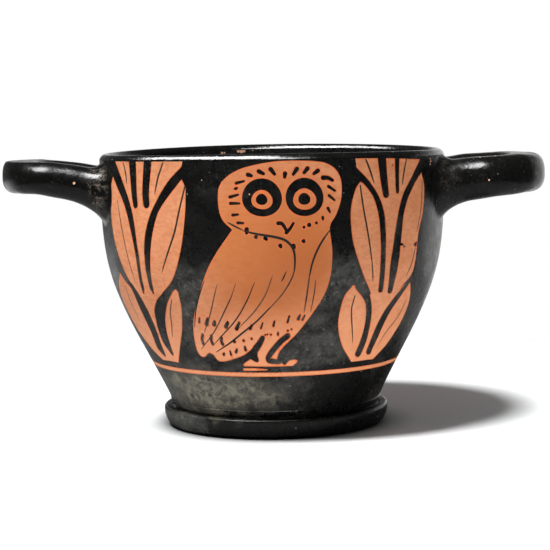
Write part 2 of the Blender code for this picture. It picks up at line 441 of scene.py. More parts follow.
# Lengths and widths of the small marks, as shares of a full feather stroke
FACE_TICK_LENGTH = 1.1
FACE_TICK_WIDTH = 0.80
EYE_TICK_WIDTH = 0.58
WING_TICK_WIDTH = 0.86
DOT_WIDTH = 0.72


def paint_owl(paint, sizes, full=True):
    line, wide = sizes.line / MM, sizes.tick / MM
    paint_owl_body(paint)
    paint_eyes_and_beak(paint)
    paint_face_ticks(paint, wide)
    paint_wing(paint, line, full)
    paint_wing_ticks(paint, wide, full)


def paint_owl_body(paint):
    """The head, breast, feet, tail and back in one outline, the gaps about the legs, and the near toes."""
    paint.clay(
        [(-11.6, 63.1), (-14.6, 66.4), (-15.5, 71.6), (-14.5, 76.2), (-9.3, 79.9), (-0.2, 81.9), (8.5, 82.1),
         (15.6, 81.2), (19.4, 77.8), (20.0, 72.2), (18.5, 67.2), (16.6, 64.2), (16.3, 62.4)],
        [(16.3, 62.4), (17.2, 56.0), (16.8, 48.6), (14.6, 42.3), (8.3, 33.5), (2.9, 28.6), (1.3, 26.7),
         (0.5, 24.4)],
        [(0.5, 24.4), (2.2, 23.9), (3.6, 23.0), (5.4, 24.4), (7.8, 24.6), (8.4, 23.9), (6.7, 22.6)],
        [(6.7, 22.6), (-3.0, 22.6), (-12.2, 22.7)],
        [(-12.2, 22.7), (-12.4, 23.3), (-10.6, 24.3), (-9.1, 24.9), (-7.8, 24.2), (-6.8, 24.6),
         (-6.0, 28.0), (-3.2, 32.4)],
        [(-3.2, 32.4), (-6.7, 29.4), (-11.1, 26.4), (-16.5, 24.7), (-20.2, 24.0), (-22.4, 24.3),
         (-23.6, 26.0), (-25.4, 26.4), (-27.6, 25.2), (-29.4, 25.4), (-30.2, 27.8), (-28.6, 34.6),
         (-24.2, 43.2), (-18.6, 53.6), (-11.6, 63.1)])
    paint.add("black", bar([(4.4, 32.0), (2.2, 30.5), (-0.2, 28.2), (-2.2, 26.0), (-2.6, 24.8), (-1.2, 24.3),
                            (1.6, 24.0)], 1.8, 1.9, 1.9, 1.8, 1.4))
    paint.add("black", bar([(-4.2, 31.5), (-5.4, 29.8), (-7.4, 27.4), (-7.3, 25.8), (-6.9, 24.7)],
                           1.6, 2.3, 1.5))
    paint.add("clay", bar([(-12.3, 21.65), (-8.0, 21.7), (-3.2, 21.6)], 0.85, 0.85, 0.3))


def paint_eyes_and_beak(paint):
    """Each eye is a black round with a clay ring's width left bare about its pupil."""
    for centre, radii, ring, pupil in (((-2.9, 72.0), (5.6, 5.35), (2.90, 2.75), 1.60),
                                       ((9.1, 71.9), (5.4, 5.40), (3.20, 3.05), 1.70)):
        paint.add("black", ellipse(centre, *radii, wobble=0.012))
        paint.add("clay", ellipse((centre[0], centre[1] - 0.6), *ring, wobble=0.03))
        paint.add("black", ellipse((centre[0] - 0.1, centre[1] - 0.5), pupil, pupil, steps=PUPIL_STEPS,
                                     wobble=0.03))
    paint.add("black", bar([(1.5, 64.8), (2.5, 64.7), (3.2, 63.8), (3.8, 62.7)], 1.2, 0.9))
    paint.add("black", bar([(5.8, 64.7), (4.9, 63.3), (3.8, 62.1)], 0.8, 1.1))


def paint_wing(paint, line, full):
    """The wing's edge, the line down the breast, and the long feathers."""
    paint.add("line", stroke([(-13.0, 65.3), (-10.6, 64.0), (-8.4, 62.9)], line, 0.15, 0.15))
    paint.add("line", stroke([(-8.4, 62.8), (-4.3, 61.8), (0.2, 61.0), (3.5, 59.9), (5.6, 57.6), (6.2, 54.2),
                              (6.0, 51.0)], line * 1.5, 0.4, 0.4))
    paint.add("thin", stroke([(6.0, 51.2), (5.2, 48.9), (2.6, 44.7), (-1.0, 40.9)], line * 0.9, 0.6, 0.6))
    paint.add("line", stroke([(-1.0, 40.9), (-5.9, 36.5), (-10.7, 33.2), (-16.0, 29.9), (-22.3, 26.8)],
                             line * 1.1, 0.6, 0.2))
    paint.add("line", stroke([(16.5, 62.6), (13.6, 58.6), (11.5, 54.0), (10.5, 49.5)], line * 1.2, 0.3, 0.5))
    paint.add("thin", stroke([(10.5, 49.6), (10.0, 44.0), (9.4, 38.8)], line, 0.6, 0.3))
    feathers = [((-21.1, 48.5), (-25.2, 41.0), (-28.2, 34.2)),
                ((-17.0, 47.7), (-20.9, 38.8), (-25.0, 32.6)),
                ((-11.3, 48.0), (-13.9, 42.6), (-20.6, 33.6), (-28.4, 27.3)),
                ((-5.6, 48.2), (-8.7, 42.2), (-13.6, 36.0), (-22.4, 29.1)),
                ((-0.3, 50.1), (-2.7, 44.3), (-6.6, 39.2), (-12.0, 34.5)),
                ((12.5, 48.6), (12.2, 44.0), (11.5, 38.8))]
    if full:
        feathers.append(((3.7, 51.2), (3.0, 49.6), (2.2, 48.1)))
    for number, feather in enumerate(feathers):
        paint.add("line" if number % 3 == 0 else "thin", stroke(feather, line * 0.85, 0.3, 0.2))


def paint_face_ticks(paint, wide):
    """Short strokes that fan out round the face."""
    for x, y, run, rise in ((-6.2, 78.3, 1.6, -0.5), (-3.0, 79.0, 1.9, -1.0), (0.2, 79.2, 1.5, -1.9),
                            (3.6, 78.1, -0.2, -1.7), (6.5, 79.1, -1.4, -2.0), (9.5, 79.3, -1.4, -1.7),
                            (12.4, 78.8, -1.7, -1.2), (17.0, 74.1, 2.2, -1.5), (17.0, 71.5, 1.9, -1.6),
                            (16.1, 68.1, 0.8, -1.5), (14.3, 65.8, 0.1, -1.1), (-9.0, 76.4, 2.6, 0.6),
                            (-10.1, 74.7, 0.9, 0.4), (-10.8, 72.6, 2.7, 0.7), (-10.6, 70.5, 2.9, 0.0),
                            (-10.5, 67.3, 2.0, 0.2), (-9.1, 65.0, 2.0, -0.1), (-7.4, 62.7, -0.1, -1.7),
                            (-4.8, 60.9, 0.2, -0.9), (-2.0, 60.5, 0.8, -0.9), (2.1, 58.3, 0.5, -1.0),
                            (5.9, 58.1, 0.6, -1.2), (8.7, 59.5, 0.5, -0.8)):
        beside_the_eyes = x < EYES_START or x > EYES_END
        width = wide * (EYE_TICK_WIDTH if beside_the_eyes else FACE_TICK_WIDTH)
        paint.add("black", tick(x, y, run * FACE_TICK_LENGTH, rise * FACE_TICK_LENGTH, width))
    paint.add("black", bar([(14.5, 77.2), (16.0, 77.1), (17.3, 76.4)], 1.4, 0.9))
    for x, y in ((12.4, 64.6), (8.8, 63.5)):
        paint.add("black", dot(x, y, wide * 0.6))
    paint.add("black", dot(10.3, 64.1, wide * 0.85))


def paint_wing_ticks(paint, wide, full):
    """Rows of short strokes across the wing, the belly and the tail."""
    for x, y, run, rise, width in ((-25.5, 36.6, 0.7, 1.8, 0.6), (-22.7, 36.3, 1.4, 2.4, 1.0),
                                   (-20.2, 35.9, 0.9, 1.6, 1.0), (-15.9, 35.5, 1.3, 2.0, 1.0),
                                   (-12.2, 35.2, 1.6, 2.5, 0.9), (-7.8, 34.9, 1.2, 1.5, 0.8),
                                   (-4.2, 35.3, 0.9, 2.0, 0.5), (-0.2, 35.9, 0.5, 1.9, 0.6),
                                   (4.5, 37.1, 0.7, 2.3, 0.6), (7.9, 37.6, 0.7, 1.7, 0.8),
                                   (9.4, 37.4, 0.8, 1.7, 0.6), (-14.3, 30.5, -0.2, 0.9, 0.9),
                                   (-19.2, 26.4, 0.8, 0.8, 0.7), (-16.5, 26.8, -0.1, 1.6, 0.6),
                                   (-14.1, 27.5, 0.9, 1.4, 0.7), (-10.7, 28.3, -0.2, 1.6, 0.8)):
        paint.add("black", tick(x, y, run, rise, width * wide * WING_TICK_WIDTH))
    for points in (((-25.7, 32.1), (-26.5, 30.7), (-26.5, 29.3)),
                   ((-22.4, 31.9), (-22.9, 30.5), (-22.7, 29.5)),
                   ((-18.7, 31.4), (-19.1, 30.3), (-18.8, 29.5))):
        paint.add("black", bar(points, wide * 0.62, wide * 0.72))
    if full:
        for x, y, size in ((-10.9, 30.7, 0.8), (-8.0, 31.3, 0.7), (-3.2, 32.4, 0.6), (-2.5, 32.6, 0.5),
                           (-1.3, 32.5, 0.6), (4.4, 33.6, 0.7), (5.6, 34.0, 0.6)):
            paint.add("black", dot(x, y, size * wide * DOT_WIDTH))
        paint.add("black", tick(1.1, 32.8, 0.1, 1.1, wide * 0.48))


# The olive sprigs

def paint_left_sprig(paint, sizes, top):
    line = sizes.line / MM
    paint.clay(
        [(-54.1, 22.4), (-51.0, 23.6), (-49.4, 24.8), (-48.8, 31.0), (-49.6, 38.6), (-51.6, 45.0)],
        [(-51.6, 45.0), (-46.6, 43.3)],
        [(-46.6, 43.3), (-45.5, 49.5), (-45.4, 59.0), (-46.5, 67.0), (-49.6, 73.8), (-55.4, top)],
        [(-55.4, top), (-26.2, top)],
        [(-26.2, top), (-26.5, 81.0)],
        [(-26.5, 81.0), (-32.0, 76.0), (-37.3, 68.7), (-41.0, 60.2), (-42.8, 51.5), (-42.2, 43.7)],
        [(-42.2, 43.7), (-41.4, 43.6), (-37.2, 44.5)],
        [(-37.2, 44.5), (-42.0, 40.2), (-45.6, 34.6), (-46.7, 28.6), (-44.4, 24.5)],
        [(-44.4, 24.5), (-43.3, 24.8), (-42.6, 22.5)],
        [(-42.6, 22.5), (-54.1, 22.4)])
    paint.clay(
        [(-50.5, 42.8), (-55.6, 50.4), (-59.4, 60.0), (-60.2, 68.0), (-59.1, 75.2), (-56.8, 78.7)],
        [(-56.8, 78.7), (-52.6, 74.2), (-48.4, 67.0), (-46.9, 58.5), (-46.8, 50.0), (-47.4, 42.6)])
    paint.clay(
        [(-41.5, 43.2), (-40.6, 51.0), (-38.2, 61.0), (-34.4, 69.4), (-28.6, 75.8)],
        [(-28.6, 75.8), (-27.9, 77.1), (-26.7, 77.3), (-25.4, 74.8)],
        [(-25.4, 74.8), (-25.9, 67.0), (-28.0, 57.0), (-32.0, 48.8), (-37.6, 44.2), (-40.0, 42.5)])
    paint.clay(
        [(-53.6, 22.4), (-60.4, 26.0), (-66.0, 31.8), (-67.7, 38.4), (-65.4, 43.8), (-59.2, 48.9)],
        [(-59.2, 48.9), (-56.6, 46.4), (-53.6, 44.2), (-52.6, 38.4), (-52.0, 31.6), (-53.2, 26.4),
         (-50.4, 23.6)])
    paint.clay(
        [(-44.0, 23.0), (-43.1, 27.4), (-41.2, 34.0), (-37.2, 40.4), (-33.1, 44.8)],
        [(-33.1, 44.8), (-31.8, 45.6), (-31.0, 44.6)],
        [(-31.0, 44.6), (-31.4, 39.4), (-34.0, 33.0), (-38.4, 27.2), (-42.6, 22.5)])
    for points, start, end in ((((-45.7, top), (-45.4, 74.0), (-44.9, 69.8)), 3.4, 2.2),
                               (((-38.9, top), (-40.1, 74.0), (-40.0, 70.2)), 3.2, 2.7),
                               (((-56.4, 78.1), (-49.9, 70.0), (-47.1, 62.2), (-45.9, 55.0), (-46.4, 47.6),
                                 (-46.5, 45.0)), 2.1, 1.5),
                               (((-27.6, 78.2), (-35.3, 69.8), (-39.3, 63.1), (-41.2, 56.7), (-41.9, 49.3),
                                 (-42.0, 45.3)), 2.6, 1.7),
                               (((-52.8, 45.6), (-50.6, 42.6), (-48.9, 38.4), (-48.6, 33.0), (-50.0, 27.6),
                                 (-51.2, 25.4)), 1.5, 2.1)):
        paint.add("black", bar(points, start, end))
    paint.add("black", bar([(-34.6, 45.0), (-40.2, 40.9), (-43.1, 37.2), (-44.4, 32.5), (-44.7, 28.2),
                            (-44.4, 25.8)], 1.4, 2.4, 3.1, 2.7, 2.1))
    for points in (((-50.6, 82.2), (-49.4, 79.0), (-48.9, 75.6)),
                   ((-32.9, 82.2), (-35.0, 77.8), (-36.5, 72.9))):
        paint.add("line", stroke(points, line * 1.2, 0.6, 0.1))
    paint.add("line", stroke([(-25.6, 75.4), (-27.6, 69.0), (-29.7, 62.2), (-33.0, 55.6), (-36.1, 50.1)],
                             line * 1.2, 0.8, 0.1))
    for points in (((-55.1, 71.1), (-53.1, 63.0), (-51.9, 57.5), (-49.8, 46.7)),
                   ((-57.7, 45.3), (-58.2, 39.6), (-57.0, 33.6)),
                   ((-34.3, 42.4), (-36.6, 38.4), (-37.9, 34.6), (-40.0, 30.6))):
        paint.add("thin", stroke(points, line, 0.6, 0.1))


def paint_right_sprig(paint, sizes, top):
    line = sizes.line / MM
    paint.clay(
        [(31.5, 22.5), (33.5, 23.7), (35.1, 24.6), (35.5, 30.1), (33.6, 38.4), (31.4, 43.2)],
        [(31.4, 43.2), (33.4, 43.4), (36.4, 43.4)],
        [(36.4, 43.4), (35.4, 54.0), (34.2, 64.5), (30.2, 74.2), (24.8, 79.8)],
        [(24.8, 79.8), (24.4, top)],
        [(24.4, top), (36.0, top - 0.2), (50.5, top - 0.9)],
        [(50.5, top - 0.9), (47.2, 77.4), (41.8, 71.2), (39.0, 62.0), (38.2, 52.0), (39.6, 43.1)],
        [(39.6, 43.1), (41.6, 42.8), (46.6, 45.0)],
        [(46.6, 45.0), (41.5, 39.9), (38.4, 34.0), (37.5, 25.2)],
        [(37.5, 25.2), (39.0, 24.2), (41.5, 24.6)],
        [(41.5, 24.6), (43.4, 22.4)],
        [(43.4, 22.4), (31.5, 22.5)])
    paint.clay(
        [(32.4, 42.6), (27.6, 49.6), (23.8, 58.4), (22.8, 67.0), (24.2, 73.2), (26.0, 75.8)],
        [(26.0, 75.8), (28.8, 73.8), (32.0, 67.0), (33.4, 57.0), (34.4, 48.0), (35.9, 43.2)])
    paint.clay(
        [(40.6, 42.6), (41.3, 50.6), (41.7, 61.4), (43.2, 68.9), (46.6, 73.6), (51.3, 77.6)],
        [(51.3, 77.6), (53.0, 73.2), (52.4, 66.6), (49.9, 59.0), (49.6, 49.0), (46.2, 45.3), (41.6, 42.2)])
    paint.clay(
        [(31.5, 22.5), (25.2, 28.0), (21.7, 34.8), (22.0, 42.4), (24.6, 46.2)],
        [(24.6, 46.2), (26.2, 45.5), (30.4, 40.8), (32.9, 34.0), (32.6, 26.0), (34.0, 24.0)])
    paint.clay(
        [(40.4, 24.4), (41.0, 33.0), (44.4, 40.3), (49.4, 45.3)],
        [(49.4, 45.3), (52.3, 39.8), (52.4, 33.6), (48.8, 26.8), (43.4, 22.4)])
    for points, start, end in ((((33.5, top), (34.3, 76.0), (35.0, 71.9)), 3.1, 2.3),
                               (((39.5, top), (39.5, 77.0), (39.6, 72.5)), 1.9, 1.3),
                               (((24.6, 78.0), (27.7, 75.8), (31.3, 71.4), (33.3, 66.8), (34.1, 61.5),
                                 (34.5, 54.9), (35.1, 48.1), (35.5, 44.3)), 1.7, 2.0),
                               (((51.6, 81.0), (47.8, 76.6), (43.2, 70.8), (40.7, 64.4), (39.6, 57.8),
                                 (39.0, 51.2), (39.8, 43.8)), 2.4, 2.3),
                               (((26.4, 45.8), (30.7, 41.9), (32.6, 38.2), (33.8, 33.2), (33.9, 28.3),
                                 (33.5, 25.4)), 1.8, 2.7)):
        paint.add("black", bar(points, start, end))
    paint.add("black", bar([(49.6, 46.4), (45.6, 42.3), (41.5, 37.5), (39.8, 32.5), (39.5, 28.4),
                            (39.1, 25.8)], 1.0, 1.8, 3.0, 3.4, 2.4))
    for points in (((27.8, 82.2), (29.4, 78.6), (30.7, 75.1)), ((43.7, 82.0), (42.4, 78.0), (41.7, 74.2))):
        paint.add("line", stroke(points, line * 1.2, 0.6, 0.3))
    paint.add("line", stroke([(25.9, 74.9), (27.0, 68.0), (28.4, 61.7), (30.4, 53.0)], line * 1.1, 0.8, 0.6))
    for points in (((30.4, 53.2), (31.2, 49.6), (31.8, 46.7)), ((51.8, 75.2), (51.2, 67.4), (48.9, 60.0)),
                   ((49.0, 56.0), (48.0, 51.0), (46.2, 47.3)), ((25.9, 43.2), (25.8, 38.0), (29.5, 28.4)),
                   ((50.3, 39.9), (48.6, 35.0), (44.8, 30.7), (42.8, 26.4))):
        paint.add("thin", stroke(points, line, 0.6, 0.1))


def paint_flaws(paint):
    """Two slips of the brush and a crack on the right sprig, as on the old cup."""
    paint.add("black", ellipse((48.8, 56.6), 0.8, 0.65, wobble=0.12, steps=20))
    paint.add("black", stroke([(41.2, 57.0), (42.2, 57.0), (42.9, 56.5)], 0.8, 0.8, 0.2))
    paint.add("thin", stroke([(42.6, 56.0), (43.3, 56.4), (43.9, 56.1)], 0.6, 0.3, 0.3))
    paint.add("black", dot(37.6, 80.1, 0.5))


def painted_shapes(sizes, profile):
    """The two pictures and the ground line, in the order that they are laid on."""
    top = profile.springing / MM
    rim = profile.bowl.rim_radius / MM
    half_way = math.pi * rim
    low = sizes.ground_height / MM
    around = Painting()
    places = [(CHART_START + 2 * math.pi * i / CHART_STEPS) * rim for i in range(CHART_STEPS + 1)]
    around.add("clay", [(x, low) for x in places]
               + [(x, low + sizes.ground_width / MM) for x in reversed(places)])
    front = Painting()
    paint_owl(front, sizes)
    paint_left_sprig(front, sizes, top)
    paint_right_sprig(front, sizes, top)
    paint_flaws(front)
    back = Painting(half_way)
    paint_owl(back, sizes, full=False)
    paint_left_sprig(back, sizes, top)
    mirrored = Painting(half_way, flip=-1)
    paint_left_sprig(mirrored, sizes, top)
    return around.shapes + front.shapes + back.shapes + mirrored.shapes


# Finishes

# (distance from the axis, degrees up from the front, radius) of the chips on each handle's front limb
HANDLE_CHIPS = {
    -1: ((0.0582, 5, 0.00045), (0.0525, -8, 0.00028), (0.0515, -16, 0.00030)),
    1: ((0.0515, 70, 0.00035), (0.0618, 75, 0.00032), (0.0643, -6, 0.00032), (0.0600, 66, 0.00020),
        (0.0668, 82, 0.00030)),
}
# How thick the crumbs lie on each handle's root
ROOT_CRUMBS = {-1: 0.95, 1: 0.12}
# (across and up the chart in millimetres, radius) of the chips and bright grains on the wall
WALL_CHIPS = ((-20.3, 77.0, 0.00017), (-17.9, 79.2, 0.00012), (-6.4, 73.0, 0.00022),
              (67.2, 74.8, 0.00030), (57.2, 81.0, 0.00032), (57.6, 80.2, 0.00030), (57.0, 79.4, 0.00028))
# (place, radius) of the rubbed chips inside, under the back of the rim
INSIDE_CHIPS = (((-0.0110, 0.0480, 0.0820), 0.00055), ((-0.0100, 0.0482, 0.0819), 0.00065),
                ((-0.0091, 0.0484, 0.0820), 0.00050), ((-0.0163, 0.0463, 0.0816), 0.00045),
                ((-0.0155, 0.0466, 0.0816), 0.00035), ((-0.0062, 0.0487, 0.0822), 0.00025),
                ((-0.0036, 0.0489, 0.0823), 0.00025))
# (centre, radii, amount) of the places where the black is clouded grey, or clearer if the amount is below 0
CLOUDS = (((0.022, -0.044, 0.047), (0.009, 0.014, 0.016), 0.20),
          ((-0.024, -0.042, 0.036), (0.010, 0.016, 0.016), 0.27),
          ((0.012, -0.042, 0.028), (0.016, 0.014, 0.012), 0.12),
          ((-0.022, -0.032, 0.014), (0.018, 0.016, 0.009), 0.30),
          ((-0.028, -0.020, 0.003), (0.014, 0.016, 0.008), 0.45),
          ((0.020, -0.030, 0.012), (0.016, 0.020, 0.014), -0.30))
# (centre, radii) of the patch rubbed thin above the foot
RUBBED_PATCH = ((-0.022, -0.028, 0.0132), (0.019, 0.024, 0.0060))
# The upper wall is a little clearer than the lower one, and turns so between these heights
CLEARER_FROM = 0.046
CLEARER_ABOVE = 0.074
CLEARER = 0.16
# Sizes of the patterns in the black, in metres
CLOUD_SIZE = 0.015
MOTTLE_SIZE = 0.0032
BLOOM_SIZE = 0.0014
DUST_SIZE = 0.0007
RUB_SIZE = 0.0065
SWIRL_SIZE = 0.0034
WORN_SPOT_SPACING = 0.0058
SPECK_SPACING = 0.0021
CRUMB_SIZE = 0.0006
CRUMB_PATCH_SIZE = 0.0030
SHEEN_SIZE = 0.0050
PIT_SPACING = 0.0034
SKIN_SIZE = 0.0009
# Depths of the small hollows in its surface, in metres
PIT_DEPTH = 0.00006
SKIN_DEPTH = 0.00008
RIPPLE_DEPTH = 0.00016
SWELL_DEPTH = 0.0005
# (centre, radii) of the deeper orange on the owl and of the deepest on its breast
OWL_SPOT = ((-0.001, -0.050, 0.057), (0.025, 0.020, 0.031))
BREAST_SPOT = ((0.006, -0.050, 0.056), (0.016, 0.020, 0.017))
# The clay is paler below the first height and full above the second
PALE_BELOW = 0.022
FULL_ABOVE = 0.046
# Sizes of the patterns in the clay and its lines, and the depth of its grain, in metres
CLAY_CLOUD_SIZE = 0.012
CLAY_GRAIN_SIZE = 0.0010
CLAY_SKIN_SIZE = 0.0007
CLAY_SKIN_DEPTH = 0.00005
THINNING_SIZE = 0.0075
# The clay's grain is drawn out level by the potter's wheel
ALONG_THE_WHEEL = (0.45, 0.45, 1.0)
# The deep orange is full up to this distance from the black, in millimetres
EDGE_FULL = 0.08


class NodeMaker:
    """Short ways to add nodes to a tree."""

    def __init__(self, tree):
        self.nodes, self.links = tree.nodes, tree.links

    def put(self, socket, value):
        if isinstance(value, bpy.types.NodeSocket):
            self.links.new(value, socket)
        elif socket.type == "RGBA" and len(value) == 3:
            socket.default_value = (*value, 1.0)
        else:
            socket.default_value = value

    def math(self, operation, a, b):
        node = self.nodes.new("ShaderNodeMath")
        node.operation = operation
        self.put(node.inputs[0], a)
        self.put(node.inputs[1], b)
        return node.outputs[0]

    def step(self, value, low, high, bottom=0.0, top=1.0):
        """Goes smoothly from bottom to top as value goes from low to high."""
        node = self.nodes.new("ShaderNodeMapRange")
        node.interpolation_type = "SMOOTHSTEP"
        self.put(node.inputs["Value"], value)
        for socket, number in (("From Min", low), ("From Max", high), ("To Min", bottom), ("To Max", top)):
            node.inputs[socket].default_value = number
        return node.outputs[0]


class Finish(NodeMaker):
    """One material. Its patterns lie in the cup's own coordinates."""

    def __init__(self, name):
        self.material = bpy.data.materials.new(name)
        self.material.use_nodes = True
        super().__init__(self.material.node_tree)
        self.shader = self.nodes["Principled BSDF"]
        self.place = self.nodes.new("ShaderNodeTexCoord").outputs["Object"]

    def set(self, **values):
        for name, value in values.items():
            self.put(self.shader.inputs[name.replace("_", " ")], value)

    def noise(self, size, detail=4.0, roughness=0.5, stretch=None, swirl=0.0):
        """Cloudy noise whose patches are about size metres across, drawn into swirls if swirl says so."""
        node = self.nodes.new("ShaderNodeTexNoise")
        place = self.place
        if stretch:
            mapping = self.nodes.new("ShaderNodeMapping")
            mapping.inputs["Scale"].default_value = stretch
            self.put(mapping.inputs["Vector"], place)
            place = mapping.outputs[0]
        self.put(node.inputs["Vector"], place)
        node.inputs["Scale"].default_value = 1 / size
        node.inputs["Detail"].default_value = detail
        node.inputs["Roughness"].default_value = roughness
        node.inputs["Distortion"].default_value = swirl
        return node.outputs[0]

    def height(self):
        node = self.nodes.new("ShaderNodeSeparateXYZ")
        self.put(node.inputs[0], self.place)
        return node.outputs["Z"]

    def cells(self, size):
        """(distance to the nearest grain, its random colour) for grains about size metres apart."""
        node = self.nodes.new("ShaderNodeTexVoronoi")
        self.put(node.inputs["Vector"], self.place)
        node.inputs["Scale"].default_value = 1 / size
        return node.outputs["Distance"], node.outputs["Color"]

    def mix(self, amount, a, b):
        """Colour a, turning into colour b as the amount goes from 0 to 1."""
        node = self.nodes.new("ShaderNodeMix")
        node.data_type = "RGBA"
        self.put(node.inputs[0], amount)
        self.put(node.inputs[6], a)
        self.put(node.inputs[7], b)
        return node.outputs[2]

    def spot(self, centre, radii):
        """Distance from a place on the cup, 1 at the edge of a spot with those radii."""
        mapping = self.nodes.new("ShaderNodeMapping")
        mapping.vector_type = "POINT"
        mapping.inputs["Location"].default_value = [-c / r for c, r in zip(centre, radii)]
        mapping.inputs["Scale"].default_value = [1 / r for r in radii]
        self.put(mapping.inputs["Vector"], self.place)
        long = self.nodes.new("ShaderNodeVectorMath")
        long.operation = "LENGTH"
        self.put(long.inputs[0], mapping.outputs[0])
        return long.outputs["Value"]

    def attribute(self, name):
        node = self.nodes.new("ShaderNodeAttribute")
        node.attribute_name = name
        return node.outputs["Fac"]

    def bump(self, height, distance, strength, under=None):
        """The normal of a surface raised as height says, laid over the normal under it."""
        node = self.nodes.new("ShaderNodeBump")
        node.inputs["Strength"].default_value = strength
        node.inputs["Distance"].default_value = distance
        self.put(node.inputs["Height"], height)
        if under is not None:
            self.put(node.inputs["Normal"], under)
        return node.outputs[0]


def clouding(made, broad, cloudy):
    """How clouded the black is at each place, before any threshold."""
    where = made.math("ADD", broad, made.step(made.height(), CLEARER_FROM, CLEARER_ABOVE, cloudy,
                                              cloudy - CLEARER))
    for centre, radii, amount in CLOUDS:
        where = made.math("ADD", where, made.step(made.spot(centre, radii), 0.2, 1.1, amount, 0.0))
    return where


def bloom_and_dust(made, where, base, finishes):
    """Lays pale crystals and fine grey dust over the black where it is clouded."""
    bloom = made.math("MULTIPLY", made.step(made.noise(BLOOM_SIZE, 6.0, 0.80), 0.54, 0.68, 0.0, 0.80),
                      made.step(where, 0.44, 0.70))
    base = made.mix(bloom, base, finishes.bloom)
    dust = made.math("MULTIPLY", made.step(made.noise(DUST_SIZE, 3.0, 0.55), 0.56, 0.70, 0.0, 0.6),
                     made.step(where, 0.25, 0.55, 0.15, 1.0))
    return made.mix(dust, base, finishes.cloud)


def rubbed_thin(made):
    """How far the slip is rubbed away at each place: a swirled, spotted patch above the foot."""
    ragged = made.step(made.noise(RUB_SIZE, 5.0, 0.62), 0.30, 0.72, -0.45, 0.45)
    rub = made.step(made.math("ADD", made.spot(*RUBBED_PATCH), ragged), 0.30, 1.45, 1.0, 0.0)
    grains = made.step(made.noise(SWIRL_SIZE, 6.0, 0.72, swirl=1.4), 0.38, 0.64, 0.25, 1.0)
    spots = made.step(made.cells(WORN_SPOT_SPACING)[0], 0.12, 0.24, 0.10, 1.0)
    return made.math("MULTIPLY", rub, made.math("MULTIPLY", grains, spots))


def crumbs_at(made, root, radii, amount):
    """How thick earthy crumbs lie at each place near a handle's root."""
    crumbs = made.step(made.noise(CRUMB_SIZE, 4.0, 0.8), 0.44, 0.60)
    near = made.math("MULTIPLY", made.step(made.spot(root, radii), 0.3, 1.0, amount, 0.0),
                     made.step(made.noise(CRUMB_PATCH_SIZE, 3.0, 0.6), 0.40, 0.58))
    return made.math("MULTIPLY", crumbs, near)


def gloss_surface(made, broad):
    """The black's normal: pits, a fine skin, a ripple and a slow swell, one over another."""
    hollow = made.bump(made.step(made.cells(PIT_SPACING)[0], 0.0, 0.10), PIT_DEPTH, 0.5)
    skin = made.bump(made.noise(SKIN_SIZE, 4.0, 0.6), SKIN_DEPTH, 0.8, hollow)
    ripple = made.bump(made.noise(MOTTLE_SIZE, 3.0, 0.5), RIPPLE_DEPTH, 0.7, skin)
    return made.bump(broad, SWELL_DEPTH, 0.35, ripple)


def black_gloss(name, finishes, wear=0.0, chips=(), polish=0.0, cloudy=0.0, rough_end=None, shine=0.5):
    """Black slip fired to a gloss: clouded and pitted, with specks, and with bare chips at places.

    wear gives it more specks, polish makes it smoother and cloudy paler than the wall. rough_end is a
    (place, radii, amount) of crumbs, and shine is how strongly it mirrors.
    """
    made = Finish(name)
    broad = made.noise(CLOUD_SIZE, 5.0, 0.62)
    where = clouding(made, broad, cloudy)
    mottle = made.step(made.noise(MOTTLE_SIZE, 6.0, 0.72), 0.36, 0.62, 0.18, 1.0)
    cloud = made.math("MULTIPLY", made.step(where, 0.40, 0.68), mottle)
    base = made.mix(cloud, finishes.black, finishes.cloud)
    base = bloom_and_dust(made, where, base, finishes)
    rubbed = rubbed_thin(made)
    base = made.mix(rubbed, base, finishes.worn)
    grain, kind = made.cells(SPECK_SPACING)
    speck = made.math("MULTIPLY", made.math("LESS_THAN", grain, 0.09),
                      made.math("GREATER_THAN", kind, 0.72 - wear))
    base = made.mix(made.math("MULTIPLY", speck, 0.35), base, finishes.speck)
    if rough_end:
        base = made.mix(crumbs_at(made, *rough_end), base, finishes.crumb)
    for centre, radius in chips:
        chip = made.step(made.spot(centre, (radius, radius, radius)), 0.6, 1.1, 1.0, 0.0)
        base = made.mix(chip, base, finishes.chip)
    smooth_end = finishes.roughness - polish
    rough = made.step(made.noise(SHEEN_SIZE, 6.0, 0.65), 0.30, 0.72, smooth_end - 0.06, smooth_end + 0.10)
    rough = made.math("ADD", rough, made.math("MULTIPLY", made.math("ADD", cloud, rubbed), 0.16))
    made.set(Base_Color=base, Roughness=rough, Normal=gloss_surface(made, broad))
    made.shader.inputs["Specular IOR Level"].default_value = shine
    return made.material


